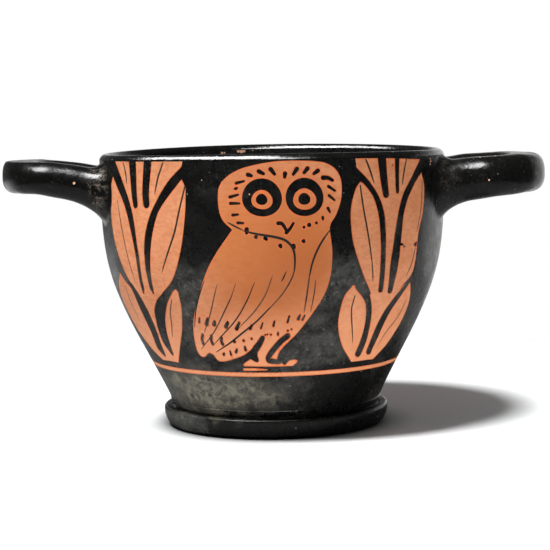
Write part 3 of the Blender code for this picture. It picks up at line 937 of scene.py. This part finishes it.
def bare_clay(name, finishes, stain=0.0):
    """Fine orange clay, deeper on the owl and along the black and paler low on the wall.

    stain is how strongly the slip's greenish brown clouds it.
    """
    made = Finish(name)
    broad = made.noise(CLAY_CLOUD_SIZE, 4.0, 0.55)
    fine = made.noise(CLAY_GRAIN_SIZE, 5.0, 0.72, stretch=ALONG_THE_WHEEL)
    base = made.mix(made.step(made.spot(*OWL_SPOT), 0.45, 1.15, 0.9, 0.0), finishes.clay, finishes.clay_deep)
    for deepest in (made.step(made.spot(*BREAST_SPOT), 0.10, 1.20, 0.85, 0.0),
                    made.step(broad, 0.44, 0.70, 0.0, 0.35), made.step(fine, 0.38, 0.68, 0.0, 0.50)):
        base = made.mix(deepest, base, finishes.clay_breast)
    base = made.mix(made.step(made.height(), PALE_BELOW, FULL_ABOVE, 0.75, 0.0), base, finishes.clay_pale)
    near = made.step(made.attribute(FROM_BLACK), EDGE_FULL, finishes.edge_width / MM, 0.9, 0.0)
    base = made.mix(near, base, finishes.clay_edge)
    if stain:
        base = made.mix(made.step(broad, 0.40, 0.62, 0.0, stain), base, finishes.worn)
    skin = made.bump(made.noise(CLAY_SKIN_SIZE, 5.0, 0.7), CLAY_SKIN_DEPTH, 0.6)
    rough = made.step(broad, 0.3, 0.7, finishes.clay_roughness - 0.07, finishes.clay_roughness + 0.08)
    made.set(Base_Color=base, Roughness=rough, Normal=skin)
    return made.material


def painted_line(name, finishes, thinned):
    """A line of slip over clay, black where it is thick and brown where it is thinned."""
    made = Finish(name)
    patchy = made.noise(THINNING_SIZE, 4.0, 0.6)
    low, high = (0.36, 0.62) if thinned else (0.60, 0.85)
    base = made.mix(made.step(patchy, low, high), finishes.line, finishes.thin_line)
    made.set(Base_Color=base, Roughness=made.step(patchy, 0.3, 0.7, 0.34, 0.5))
    return made.material


def bowl_finishes(finishes, profile):
    """The bowl's materials, in the order of their slots."""
    chips = [(on_wall(profile, u, v)[0], radius) for u, v, radius in WALL_CHIPS] + list(INSIDE_CHIPS)
    return {
        "black": black_gloss("black_gloss_wall", finishes, chips=chips),
        "lip": black_gloss("black_gloss_lip", finishes, 0.05, polish=0.13),
        "clay": bare_clay("reserved_clay", finishes),
        "line": painted_line("relief_line", finishes, False),
        "thin": painted_line("thinned_line", finishes, True),
    }


# Meshes

def on_wall(profile, u, v):
    """The point and normal on the wall for a place on the chart, in millimetres."""
    angle = u * MM / profile.bowl.rim_radius
    z = v * MM
    radius, rise = profile.radius(z), profile.slope(z)
    outward = Vector((math.sin(angle), -math.cos(angle), 0.0))
    return outward * radius + Vector((0.0, 0.0, z)), (outward - Vector((0.0, 0.0, rise))).normalized()


def chart_grid(shapes, start, width, rows, columns):
    """Points of a grid over the chart, close together near an outline and sparser elsewhere."""
    lines = [p for kind, points in shapes for p in points]
    near = kdtree.KDTree(len(lines))
    for i, (x, y) in enumerate(lines):
        near.insert((x, y, 0.0), i)
    near.balance()
    found = []
    for row, y in enumerate(rows[1:-1]):
        stagger = 0.75 if row % 2 else 0.25
        for column in range(columns):
            x = start + width * (column + stagger) / columns
            away = near.find((x, y, 0.0))[2]
            sparse = row % SPARSE_EVERY == 0 and column % SPARSE_EVERY == 0
            if away > CLOSE_TO_LINE and (away < FINE_WITHIN or sparse):
                found.append((x, y))
    return found


def chart_mesh(profile, paint):
    """The painted wall flat on its chart: (points, triangles, kind of each triangle)."""
    rim = profile.bowl.rim_radius / MM
    start, width = CHART_START * rim, 2 * math.pi * rim
    low, top = profile.collar_top / MM - HIDDEN_BY_FOOT, profile.springing / MM
    band = [paint.ground_height / MM, (paint.ground_height + paint.ground_width) / MM]
    shapes = [(kind, [(x, min(y, top)) for x, y in points])
              for kind, points in painted_shapes(paint, profile)]
    rows = [low + (top - low) * i / CHART_ROWS for i in range(CHART_ROWS + 1)]
    points, edges, faces, kinds = [], [], [], []

    def chain(run):
        first = len(points)
        points.extend(run)
        edges.extend((first + i, first + i + 1) for i in range(len(run) - 1))

    side = sorted(y for y in rows + band
                  if y in band or min(abs(y - b) for b in band) > CLEAR_OF_GROUND_LINE)
    for x in (start, start + width / 2, start + width):
        chain([(x, y) for y in side])
    for y in (low, top):
        chain([(start + width * i / CHART_STEPS, y) for i in range(CHART_STEPS + 1)])
    for kind, shape in shapes:
        first = len(points)
        points.extend(shape)
        faces.append(list(range(first, first + len(shape))))
        kinds.append(kind)
    fine_rows = round((top - low) / PAINT_GRID)
    picture = [low + (top - low) * i / fine_rows for i in range(fine_rows + 1)]
    points.extend(chart_grid(shapes, start, width, picture, round(width / PAINT_GRID)))
    flat, _, triangles, _, _, sources = geometry.delaunay_2d_cdt(
        [Vector(p) for p in points], edges, faces, 0, 1e-4)
    laid = [kinds[max(source)] if source else "black" for source in sources]
    return flat, triangles, laid


def from_black(points, triangles, laid):
    """For each point, the distance to the nearest edge between clay and black, in millimetres."""
    sides = {}
    for triangle, kind in zip(triangles, laid):
        for a, b in zip(triangle, triangle[1:] + triangle[:1]):
            sides.setdefault((min(a, b), max(a, b)), set()).add("black" if kind == "black" else "clay")
    meeting = [key for key, kinds in sides.items() if len(kinds) == 2]
    near = kdtree.KDTree(2 * len(meeting))
    for i, (a, b) in enumerate(meeting):
        near.insert((*points[a], 0.0), 2 * i)
        near.insert((*points[a].lerp(points[b], 0.5), 0.0), 2 * i + 1)
    near.balance()
    return [near.find((x, y, 0.0))[2] for x, y in points]


FROM_BLACK = "from_black"
FAR_FROM_BLACK = 9.0


class Builder:
    """Gathers the points, faces, texture places and materials of one mesh."""

    def __init__(self):
        self.points, self.normals, self.values = [], [], []
        self.faces, self.kinds, self.places = [], [], []

    def point(self, place, normal=None, value=FAR_FROM_BLACK):
        self.points.append(place)
        self.normals.append(normal)
        self.values.append(value)
        return len(self.points) - 1

    def face(self, corners, kind, places):
        self.faces.append(corners)
        self.kinds.append(kind)
        self.places.extend(places)

    def ring(self, angles, radius, height, normal=None):
        """One ring of points, with its normal as (outward, up) if it has one."""
        made = []
        for angle in angles:
            outward = Vector((math.sin(angle), -math.cos(angle), 0.0))
            turned = None if normal is None else outward * normal[0] + Vector((0, 0, normal[1]))
            made.append(self.point(outward * radius + Vector((0, 0, height)), turned))
        return made

    def band(self, upper, lower, kind, box, low, high):
        """Faces between two rings. box is the texture's area, low and high the band's share of it."""
        count = len(upper)
        x0, y0, x1, y1 = box
        for i in range(count):
            j = (i + 1) % count
            a, b = x0 + (x1 - x0) * i / count, x0 + (x1 - x0) * (i + 1) / count
            c, d = y0 + (y1 - y0) * low, y0 + (y1 - y0) * high
            self.face((upper[i], upper[j], lower[j], lower[i]), kind, [(a, c), (b, c), (b, d), (a, d)])

    def cap(self, ring, centre, kind, box):
        """A fan of faces from a ring to a point in its middle."""
        middle, radius = ((box[0] + box[2]) / 2, (box[1] + box[3]) / 2), (box[2] - box[0]) / 2
        count = len(ring)
        for i in range(count):
            j = (i + 1) % count
            turn = [2 * math.pi * k / count for k in (i, i + 1)]
            self.face((ring[i], ring[j], centre), kind,
                      [(middle[0] + radius * math.cos(t), middle[1] + radius * math.sin(t)) for t in turn]
                      + [middle])

    def build(self, name, materials):
        """Makes the object. Its normals are set where every point has one."""
        mesh = bpy.data.meshes.new(name)
        mesh.from_pydata(self.points, [], self.faces)
        order = list(materials)
        for kind in order:
            mesh.materials.append(materials[kind])
        mesh.polygons.foreach_set("material_index", [order.index(kind) for kind in self.kinds])
        uv = mesh.uv_layers.new(name="OFBake")
        uv.data.foreach_set("uv", [number for place in self.places for number in place])
        value = mesh.attributes.new(FROM_BLACK, "FLOAT", "POINT")
        value.data.foreach_set("value", self.values)
        mesh.shade_smooth()
        if all(normal is not None for normal in self.normals):
            mesh.normals_split_custom_set_from_vertices([n.normalized() for n in self.normals])
        mesh.validate()
        made = bpy.data.objects.new(name, mesh)
        bpy.context.scene.collection.objects.link(made)
        return made


def stand_for_node(piece):
    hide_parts(NODE)
    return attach(piece, BODY)


# Places of each part of the bowl on its texture: the two halves of the wall, the inside, the base
FRONT_BOX = (0.01, 0.58, 0.97, 0.99)
BACK_BOX = (0.01, 0.155, 0.97, 0.565)
INSIDE_BOX = (0.01, 0.01, 0.86, 0.145)
BASE_BOX = (0.87, 0.01, 0.99, 0.13)


def make_bowl(profile, paint, finishes):
    rim = profile.bowl.rim_radius / MM
    start, width = CHART_START * rim, 2 * math.pi * rim
    flat, triangles, laid = chart_mesh(profile, paint)
    distances = from_black(flat, triangles, laid)
    low, top = min(p.y for p in flat), max(p.y for p in flat)
    made = Builder()
    last = start + width - ON_EDGE
    seam = {round(p.y, 3): i for i, p in enumerate(flat) if abs(p.x - start) < ON_EDGE}
    index = {}
    for i, (u, v) in enumerate(flat):
        if u <= last:
            place, normal = on_wall(profile, u, v)
            index[i] = made.point(place, normal, distances[i])
    for i, (u, v) in enumerate(flat):
        if i not in index:
            index[i] = index[seam[round(v, 3)]]
    for triangle, kind in zip(triangles, laid):
        if min(flat[i].y for i in triangle) > top - ON_EDGE:
            continue
        middle = sum(flat[i].x for i in triangle) / 3
        first = middle < start + width / 2
        box = FRONT_BOX if first else BACK_BOX
        left = start if first else start + width / 2
        places = [(box[0] + (box[2] - box[0]) * (flat[i].x - left) / (width / 2),
                   box[1] + (box[3] - box[1]) * (flat[i].y - low) / (top - low)) for i in triangle]
        made.face([index[i] for i in triangle], kind, places)
    edge = sorted((p.x, i) for i, p in enumerate(flat) if p.y > top - ON_EDGE and p.x < last)
    base = sorted((p.x, i) for i, p in enumerate(flat) if p.y < low + ON_EDGE and p.x < last)
    angles = [x / rim for x, _ in edge]
    upper = [index[i] for _, i in edge]
    rings = profile.lip() + profile.interior()
    total = sum(math.dist(a[:2], b[:2]) for a, b in zip(rings, rings[1:])) + profile.bowl.wall
    before = (profile.radius(profile.springing), profile.springing)
    run = 0.0
    for number, (radius, height, normal) in enumerate(rings):
        lower = made.ring(angles, radius, height, normal)
        step = math.dist(before, (radius, height))
        kind = "lip" if number < LIP_STEPS else "black"
        made.band(upper, lower, kind, INSIDE_BOX, 1 - run / total, 1 - min((run + step) / total, 1.0))
        upper, before, run = lower, (radius, height), run + step
    middle = made.point(Vector((0, 0, profile.foot.ledge_height + profile.bowl.floor_above_ledge)),
                        Vector((0, 0, 1)))
    made.cap(upper, middle, "black", BASE_BOX)
    bottom = made.point(Vector((0, 0, low * MM)), Vector((0, 0, -1)))
    ring = [index[i] for _, i in base][::-1]
    made.cap(ring, bottom, "black", BASE_BOX)
    for point in made.points:
        profile.sink(point)
    piece = made.build("bowl", bowl_finishes(finishes, profile))
    if inside_out(piece.data):
        raise RuntimeError("the bowl is inside out")
    return piece


def inside_out(mesh):
    """Whether most of a closed mesh's faces look inward."""
    mesh.calc_loop_triangles()
    volume = 0.0
    for triangle in mesh.loop_triangles:
        a, b, c = (mesh.vertices[i].co for i in triangle.vertices)
        volume += a.dot(b.cross(c))
    return volume < 0


def turn_outward(mesh):
    if inside_out(mesh):
        mesh.flip_normals()


# Small steps in the foot's turned profile, in metres
TUCKED_IN = 0.0012
TUCKED_DOWN = 0.0007
SMALL_STEP = 0.0001
CREST_DROP = 0.0003
FACE_DROP = 0.0011
GROOVE_LIP = 0.0002
GROOVE_FLOOR = 0.0009
GROOVE_WIDTH = 0.0013
RECESS_BEVEL = (0.0003, 0.0004)
RECESS_CORNER = (0.0004, 0.0003)
# Shares of how far the collar stands out at its crest, and of its height where its face ends
CREST_SHARE = 0.7
FACE_END = 0.28
# Shares of the underside's radius, of its circle's and of its disc's where rings of faces meet
UNDERSIDE_RINGS = (0.92, 0.7, 0.6)
DISC_INNER = 0.4
# Places of the foot on its texture: its turned face, the middle below, and the hidden top
FOOT_BOX = (0.01, 0.20, 0.99, 0.99)
FOOT_MIDDLE_BOX = (0.01, 0.01, 0.17, 0.17)
FOOT_TOP_BOX = (0.20, 0.01, 0.36, 0.17)


def foot_rings(profile):
    """(radius, height, kind) down the foot, from inside the bowl's base round to the recess.

    The kind is that of the faces between a ring and the one before it.
    """
    foot = profile.foot
    collar_top = profile.collar_top
    wall = profile.radius(collar_top)
    proud = profile.radius(foot.ledge_height + foot.collar_height / 2) + foot.collar_proud
    rounding = foot.edge_rounding
    widest = foot.ledge_height - rounding
    groove = profile.radius(foot.ledge_height) - foot.collar_proud
    groove_floor = foot.ledge_height - foot.ledge_notch
    rings = [(wall - TUCKED_IN, collar_top - TUCKED_DOWN, "collar"),
             (wall - SMALL_STEP, collar_top, "collar"),
             (wall + foot.collar_proud * CREST_SHARE, collar_top - CREST_DROP, "collar"),
             (proud + SMALL_STEP, collar_top - FACE_DROP, "collar"),
             (proud - SMALL_STEP, foot.ledge_height + foot.collar_height * FACE_END, "collar"),
             (groove + GROOVE_LIP, foot.ledge_height + GROOVE_LIP, "groove"),
             (groove, groove_floor, "groove"), (groove + GROOVE_FLOOR, groove_floor, "groove"),
             (groove + GROOVE_WIDTH, foot.ledge_height, "edge")]
    for i in range(FOOT_CORNER_STEPS + 1):
        angle = math.pi / 2 * i / FOOT_CORNER_STEPS
        rings.append((foot.radius - rounding + rounding * math.sin(angle),
                      widest + rounding * math.cos(angle), "edge" if i else "ledge"))
    for i in range(1, FOOT_EDGE_STEPS + 1):
        angle = math.pi / 2 * i / FOOT_EDGE_STEPS
        rings.append((foot.radius - foot.draw_in * (1 - math.cos(angle)), widest * (1 - math.sin(angle)),
                      "edge"))
    inner = foot.radius - foot.draw_in - foot.stand_width
    recess = foot.ledge_height + profile.bowl.floor_above_ledge - foot.floor_thickness
    flat = inner - foot.recess_slant
    rings += [(inner + foot.stand_width / 2, 0.0, "clay"), (inner, 0.0, "clay"),
              (inner - RECESS_BEVEL[0], RECESS_BEVEL[1], "clay"),
              (flat + RECESS_CORNER[0], recess - RECESS_CORNER[1], "edge"), (flat, recess, "edge")]
    circle, half = foot.circle_radius, foot.circle_width / 2
    dot_middle = foot.disc_radius * DISC_INNER
    for radius, kind in ((flat * UNDERSIDE_RINGS[0], "clay"), (flat * UNDERSIDE_RINGS[1], "clay"),
                         (circle + half, "clay"), (circle - half, "edge"),
                         (circle * UNDERSIDE_RINGS[2], "clay"), (foot.disc_radius, "clay"),
                         (dot_middle, "edge")):
        rings.append((radius, recess, kind))
    return rings


def make_foot(profile, finishes):
    made = Builder()
    rings = foot_rings(profile)
    angles = [2 * math.pi * i / CHART_STEPS for i in range(CHART_STEPS)]
    total = sum(math.dist(a[:2], b[:2]) for a, b in zip(rings, rings[1:]))
    run = 0.0
    upper = first = made.ring(angles, *rings[0][:2])
    for before, (radius, height, kind) in zip(rings, rings[1:]):
        lower = made.ring(angles, radius, height)
        step = math.dist(before[:2], (radius, height))
        made.band(upper, lower, kind, FOOT_BOX, 1 - run / total, 1 - (run + step) / total)
        upper, run = lower, run + step
    made.cap(upper, made.point(Vector((0, 0, rings[-1][1]))), "edge", FOOT_MIDDLE_BOX)
    made.cap(first[::-1], made.point(Vector((0, 0, rings[0][1]))), "edge", FOOT_TOP_BOX)
    materials = {
        "edge": black_gloss("black_gloss_foot", finishes, 0.02, cloudy=-0.22),
        "collar": black_gloss("black_gloss_collar", finishes, 0.45, cloudy=-0.10),
        "groove": black_gloss("black_gloss_groove", finishes),
        # The ledge's black is painted darker and mirrors less: this is painted shade, standing in for the
        # shade under the bowl's overhang.
        "ledge": black_gloss("black_ledge_painted_shade", finishes, 0.35, polish=-0.22, cloudy=-0.30, shine=0.12),
        "clay": bare_clay("underside_clay", finishes, 0.4),
    }
    piece = made.build("foot", materials)
    turn_outward(piece.data)
    piece.data.set_sharp_from_angle(angle=FOOT_SHARP)
    return piece


# Handles

# How far a loop's ends run into the wall, as a share of its thickness
BURIED = 0.35
# Crumbs lie about this far in from the rim's radius and below the lip, within these radii
CRUMBS_IN = 0.0010
CRUMBS_BELOW_LIP = 0.008
CRUMBS_RADII = (0.0042, 0.060, 0.014)
# How far apart in the uneven clay the two handles are cut from
UNLIKE = 7.0
# Places of a handle on its texture: its length and its two ends
HANDLE_BOX = (0.02, 0.02, 0.86, 0.98)
FIRST_END_BOX = (0.88, 0.02, 0.98, 0.12)
LAST_END_BOX = (0.88, 0.14, 0.98, 0.24)


def handle_stations(handle, profile, which):
    """(centre, half thickness, squareness, share of following the wall, distance from it) along one loop."""
    limb, bow, root = handle.limb_radius[which], handle.bow_radius[which], handle.root_radius[which]
    end_height = profile.bowl.height - handle.below_rim[which]
    end = profile.bowl.rim_radius + handle.reach[which] - bow
    wall_face = math.sqrt(profile.radius(end_height)**2 - (handle.root_spacing / 2)**2)
    bend_start = end - handle.bend[which]
    near = []

    def station(x, y, swell):
        along = (x - wall_face) / (end - wall_face)
        out = x - wall_face
        half = limb + (bow - limb) * swell + (root - limb) * (1 - along)**2
        follow = max(1 - out / (bend_start - wall_face), 0.0)
        z = end_height - handle.drop[which] * (1 - math.sin(along * math.pi / 2))
        near.append((Vector((x, y, z)), half, handle.squareness * swell, follow**2 * (3 - 2 * follow), out))

    for i in range(LIMB_STEPS + 1):
        far = (i / LIMB_STEPS)**LIMB_CROWDING
        station(wall_face + (bend_start - wall_face) * far,
                handle.root_spacing / 2 + (handle.loop_spacing - handle.root_spacing) / 2 * far**2, 0.0)
    for i in range(1, BOW_STEPS + 1):
        angle = math.pi / 2 * i / BOW_STEPS
        station(bend_start + handle.bend[which] * math.sin(angle), handle.loop_spacing / 2 * math.cos(angle),
                1 - math.cos(angle))
    front = [(Vector((c.x, -c.y, c.z)), *rest) for c, *rest in near[-2::-1]]
    last = len(near) - 1
    back = []
    for i, (centre, *rest) in enumerate(near):
        sag = handle.back_drop[which] * math.sin(math.pi * i / last)
        back.append((centre - Vector((0.0, 0.0, sag)), *rest))
    return back + front


def flare(out, reach):
    """1 at the wall, falling along a quarter of an ellipse to 0 at the reach."""
    t = min(out / reach, 1.0)
    return 1 - math.sqrt(1 - (1 - t)**2)


def handle_ring(path, number, side, handle, profile):
    """The points round the clay at one station, lying on the wall where the handle meets it."""
    centre, half, square, follow, out = path[number]
    before = path[max(number - 1, 0)][0]
    after = path[min(number + 1, len(path) - 1)][0]
    along = (after - before).normalized()
    across = Vector((along.y, -along.x, 0.0)).normalized()
    up = across.cross(along)
    up = up if up.z > 0 else -up
    low, high = flare(out, handle.fillet_reach), flare(out, handle.above_reach)
    power = 2 + square
    ring = []
    for i in range(HANDLE_SIDES):
        angle = 2 * math.pi * i / HANDLE_SIDES
        level = math.sin(angle)
        edge = handle.fillet_above * high if level > 0 else handle.fillet_below * low
        spread = half / (abs(math.cos(angle))**power + abs(level)**power)**(1 / power)
        spread += handle.fillet * low + (edge - handle.fillet * low) * level**2
        direction = across * math.cos(angle) + up * level
        point = centre + direction * spread
        rough = noise.noise(point / handle.waves + Vector((side * UNLIKE, 0, 0)))
        point += direction * (rough * handle.unevenness * (1 - low))
        if follow > 0:
            radius = profile.radius(min(point.z, profile.bowl.height))
            wall = math.sqrt(max(radius**2 - point.y**2, 0.0))
            point.x += (wall + out - point.x) * follow
        point.z = min(point.z, profile.springing - profile.bowl.sag)
        ring.append(point)
    return ring


def make_handle(name, side, handle, profile, finishes):
    path = handle_stations(handle, profile, 0 if side < 0 else 1)
    rings = [handle_ring(path, number, side, handle, profile) for number in range(len(path))]
    buried = Vector((profile.bowl.wall * BURIED, 0, 0))
    rings.insert(0, [p - buried for p in rings[0]])
    rings.append([p - buried for p in rings[-1]])
    made = Builder()
    ids = [[made.point(Vector((side * p.x, p.y, p.z))) for p in ring] for ring in rings]
    last = len(ids) - 1
    for i, (a, b) in enumerate(zip(ids, ids[1:])):
        made.band(a, b, "black", HANDLE_BOX, i / last, (i + 1) / last)
    for ring, box, turn in ((ids[0], FIRST_END_BOX, -1), (ids[-1], LAST_END_BOX, 1)):
        centre = sum((made.points[i] for i in ring), Vector()) / len(ring)
        made.cap(ring[::turn], made.point(centre), "black", box)
    chips = []
    for x, degrees, radius in HANDLE_CHIPS[side]:
        centre, half = min(path[len(path) // 2:], key=lambda station: abs(station[0].x - x))[:2]
        turn = math.radians(degrees)
        chip = centre + Vector((0.0, -math.cos(turn), math.sin(turn))) * half
        chips.append((Vector((side * chip.x, chip.y, chip.z)), radius))
    root = (side * (profile.bowl.rim_radius - CRUMBS_IN), 0.0, HIGH.z - CRUMBS_BELOW_LIP)
    gloss = black_gloss(name + "_gloss", finishes, 0.04, chips, polish=0.05,
                        rough_end=(root, CRUMBS_RADII, ROOT_CRUMBS[side]))
    piece = made.build(name, {"black": gloss})
    turn_outward(piece.data)
    piece.data.set_sharp_from_angle(angle=HANDLE_SHARP)
    return piece


# Stage: camera, lights, table

LIGHT_HEIGHT = 0.8
STRIP_TARGET = (0.0, 0.0, 0.08)
SIDE_PLACE = (0.55, -0.45, 0.14)
SIDE_TARGET = (0.0, 0.0, 0.05)
SIDE_SIZE = 0.3
SENSOR_WIDTH = 36.0
NEAREST_SEEN = 0.01
CONTACT_POWER = 1.5


def aim(thing, target):
    direction = Vector(target) - thing.location
    thing.rotation_euler = direction.to_track_quat("-Z", "Y").to_euler()


def add_light(kind, name, place, target, **settings):
    lamp = bpy.data.lights.new(name, kind)
    for setting, value in settings.items():
        setattr(lamp, setting, value)
    thing = bpy.data.objects.new(name, lamp)
    thing.location = place
    thing.visible_camera = False
    bpy.context.scene.collection.objects.link(thing)
    aim(thing, target)
    return thing


def add_lights(stage):
    """The high light, whose shadow is the bowl's and foot's alone, its reflections, and a weak side light."""
    sun = add_light("SUN", "sun", (-stage.sun_left, -stage.sun_front, 1.0), (0, 0, 0), energy=stage.sun,
                    angle=stage.sun_softness)
    shading = bpy.data.collections.new("shading")
    for name in ("bowl", "foot"):
        shading.objects.link(bpy.data.objects[name])
    sun.light_linking.blocker_collection = shading
    sun.visible_glossy = False
    place = Vector((-stage.sun_left, -stage.sun_front, 1.0)) * LIGHT_HEIGHT
    box = add_light("AREA", "soft_box", place, (place.x, place.y, 0.0), shape="RECTANGLE",
                    size=stage.box_width, size_y=stage.box_depth, energy=stage.box_power)
    box.visible_diffuse = False
    strip = add_light("AREA", "strip", place, STRIP_TARGET, shape="RECTANGLE", size=stage.strip_width,
                      size_y=stage.box_depth, energy=stage.strip_power)
    strip.visible_diffuse = False
    bowl_only = bpy.data.collections.new("bowl_only")
    bowl_only.objects.link(bpy.data.objects["bowl"])
    strip.light_linking.receiver_collection = bowl_only
    side = add_light("AREA", "side", SIDE_PLACE, SIDE_TARGET, size=SIDE_SIZE, energy=stage.side_power)
    side.visible_glossy = False


def add_camera(stage):
    data = bpy.data.cameras.new("camera")
    data.lens = stage.lens
    data.sensor_width = SENSOR_WIDTH
    data.clip_start = NEAREST_SEEN
    thing = bpy.data.objects.new("camera", data)
    bpy.context.scene.collection.objects.link(thing)
    level = Vector((math.sin(stage.yaw), math.cos(stage.yaw), 0.0))
    forward = level * math.cos(stage.pitch) + Vector((0.0, 0.0, -math.sin(stage.pitch)))
    right = Vector((math.cos(stage.yaw), -math.sin(stage.yaw), 0.0))
    up = right.cross(forward)
    lean = Matrix.Rotation(stage.roll, 3, -forward)
    right, up = lean @ right, lean @ up
    thing.matrix_world = Matrix((right, up, -forward)).transposed().to_4x4()
    thing.location = (0.0, -stage.distance, stage.camera_height)
    bpy.context.scene.camera = thing


def add_surround(stage):
    """Pale walls at the sides and the back, and a dark roof and front, for the gloss to mirror."""
    world = bpy.data.worlds.new("surround")
    world.use_nodes = True
    bpy.context.scene.world = world
    made = NodeMaker(world.node_tree)
    split = made.nodes.new("ShaderNodeSeparateXYZ")
    made.put(split.inputs[0], made.nodes.new("ShaderNodeTexCoord").outputs["Generated"])
    pale = made.math("MULTIPLY", made.step(split.outputs["Y"], 0.15, 0.80),
                     made.step(split.outputs["Z"], 0.15, 0.55, 1.0, 0.0))
    left = made.math("MAXIMUM", made.step(split.outputs["X"], -0.30, 0.05, 0.12, 1.0),
                     made.step(split.outputs["Z"], -0.25, -0.02, 1.0, 0.0))
    pale = made.math("MULTIPLY", pale, left)
    tent = made.math("MAXIMUM", made.math("MULTIPLY", pale, stage.tent), stage.dark_side)
    path = made.nodes.new("ShaderNodeLightPath")
    glossy, seen = path.outputs["Is Glossy Ray"], path.outputs["Is Camera Ray"]
    others = made.math("MULTIPLY", made.math("SUBTRACT", 1.0, glossy), stage.fill)
    strength = made.math("ADD", made.math("MULTIPLY", glossy, tent), others)
    made.put(made.nodes["Background"].inputs["Strength"], made.math("MAXIMUM", strength, seen))
    made.nodes["Background"].inputs["Color"].default_value = (1.0, 1.0, 1.0, 1.0)


def add_table(stage):
    mesh = bpy.data.meshes.new("table")
    turns = [2 * math.pi * i / TABLE_SIDES for i in range(TABLE_SIDES)]
    rim = [(stage.table_radius * math.cos(t), stage.table_radius * math.sin(t), 0.0) for t in turns]
    mesh.from_pydata(rim, [], [list(range(TABLE_SIDES))])
    made = Finish("table_top")
    path = made.nodes.new("ShaderNodeLightPath")
    shade = made.mix(path.outputs["Is Camera Ray"], stage.floor, stage.seen_floor)
    shade = made.mix(path.outputs["Is Glossy Ray"], shade, [stage.mirrored_table] * 3)
    corner = made.nodes.new("ShaderNodeAmbientOcclusion")
    corner.inputs["Distance"].default_value = stage.contact
    shade = made.mix(made.math("POWER", corner.outputs["AO"], CONTACT_POWER), (0.0, 0.0, 0.0), shade)
    made.set(Base_Color=shade, Roughness=0.85)
    mesh.materials.append(made.material)
    table = bpy.data.objects.new("table", mesh)
    bpy.context.scene.collection.objects.link(table)


# Operators, panel and registration

def profile_of(scene):
    return Profile(scene.owl_cup_bowl, scene.owl_cup_foot)


class OWLCUP_OT_bowl(bpy.types.Operator):
    """Throw the bowl and paint its wall"""
    bl_idname = "owlcup.bowl"
    bl_label = "Painted Bowl"

    def execute(self, context):
        scene = context.scene
        stand_for_node(make_bowl(profile_of(scene), scene.owl_cup_paint, scene.owl_cup_finishes))
        return {"FINISHED"}


class OWLCUP_OT_foot(bpy.types.Operator):
    """Turn the disc foot with its collar, groove and recess"""
    bl_idname = "owlcup.foot"
    bl_label = "Disc Foot"

    def execute(self, context):
        scene = context.scene
        stand_for_node(make_foot(profile_of(scene), scene.owl_cup_finishes))
        return {"FINISHED"}


class OWLCUP_OT_handles(bpy.types.Operator):
    """Roll the two loop handles and smear them onto the wall"""
    bl_idname = "owlcup.handles"
    bl_label = "Loop Handles"

    def execute(self, context):
        scene = context.scene
        for name, side in (("handle_left", -1), ("handle_right", 1)):
            stand_for_node(make_handle(name, side, scene.owl_cup_handle, profile_of(scene),
                                       scene.owl_cup_finishes))
        return {"FINISHED"}


class OWLCUP_OT_stage(bpy.types.Operator):
    """Set up the pale table, the soft light and the camera"""
    bl_idname = "owlcup.stage"
    bl_label = "Stage"

    def execute(self, context):
        stage = context.scene.owl_cup_stage
        context.scene.view_settings.view_transform = "Standard"
        add_table(stage)
        add_surround(stage)
        add_lights(stage)
        add_camera(stage)
        return {"FINISHED"}


class OWLCUP_PT_panel(bpy.types.Panel):
    """Lists the cup's pieces and its stage"""
    bl_idname = "OWLCUP_PT_panel"
    bl_label = "Owl Cup"
    bl_space_type = "VIEW_3D"
    bl_region_type = "UI"
    bl_category = "Owl Cup"

    def draw(self, context):
        for operator in OPERATORS:
            self.layout.operator(operator.bl_idname)


GROUPS = {
    "owl_cup_bowl": BowlSizes,
    "owl_cup_foot": FootSizes,
    "owl_cup_handle": HandleSizes,
    "owl_cup_paint": PaintSizes,
    "owl_cup_finishes": Finishes,
    "owl_cup_stage": StageSizes,
}
OPERATORS = (OWLCUP_OT_bowl, OWLCUP_OT_foot, OWLCUP_OT_handles, OWLCUP_OT_stage)


def register():
    for group in GROUPS.values():
        bpy.utils.register_class(group)
    for name, group in GROUPS.items():
        setattr(bpy.types.Scene, name, bpy.props.PointerProperty(type=group))
    for operator in OPERATORS:
        bpy.utils.register_class(operator)
    bpy.utils.register_class(OWLCUP_PT_panel)


def unregister():
    bpy.utils.unregister_class(OWLCUP_PT_panel)
    for operator in reversed(OPERATORS):
        bpy.utils.unregister_class(operator)
    for name, group in GROUPS.items():
        delattr(bpy.types.Scene, name)
        bpy.utils.unregister_class(group)


def main():
    register()
    bpy.ops.owlcup.bowl()
    bpy.ops.owlcup.foot()
    bpy.ops.owlcup.handles()
    bpy.ops.owlcup.stage()


if __name__ == "__main__":
    main()
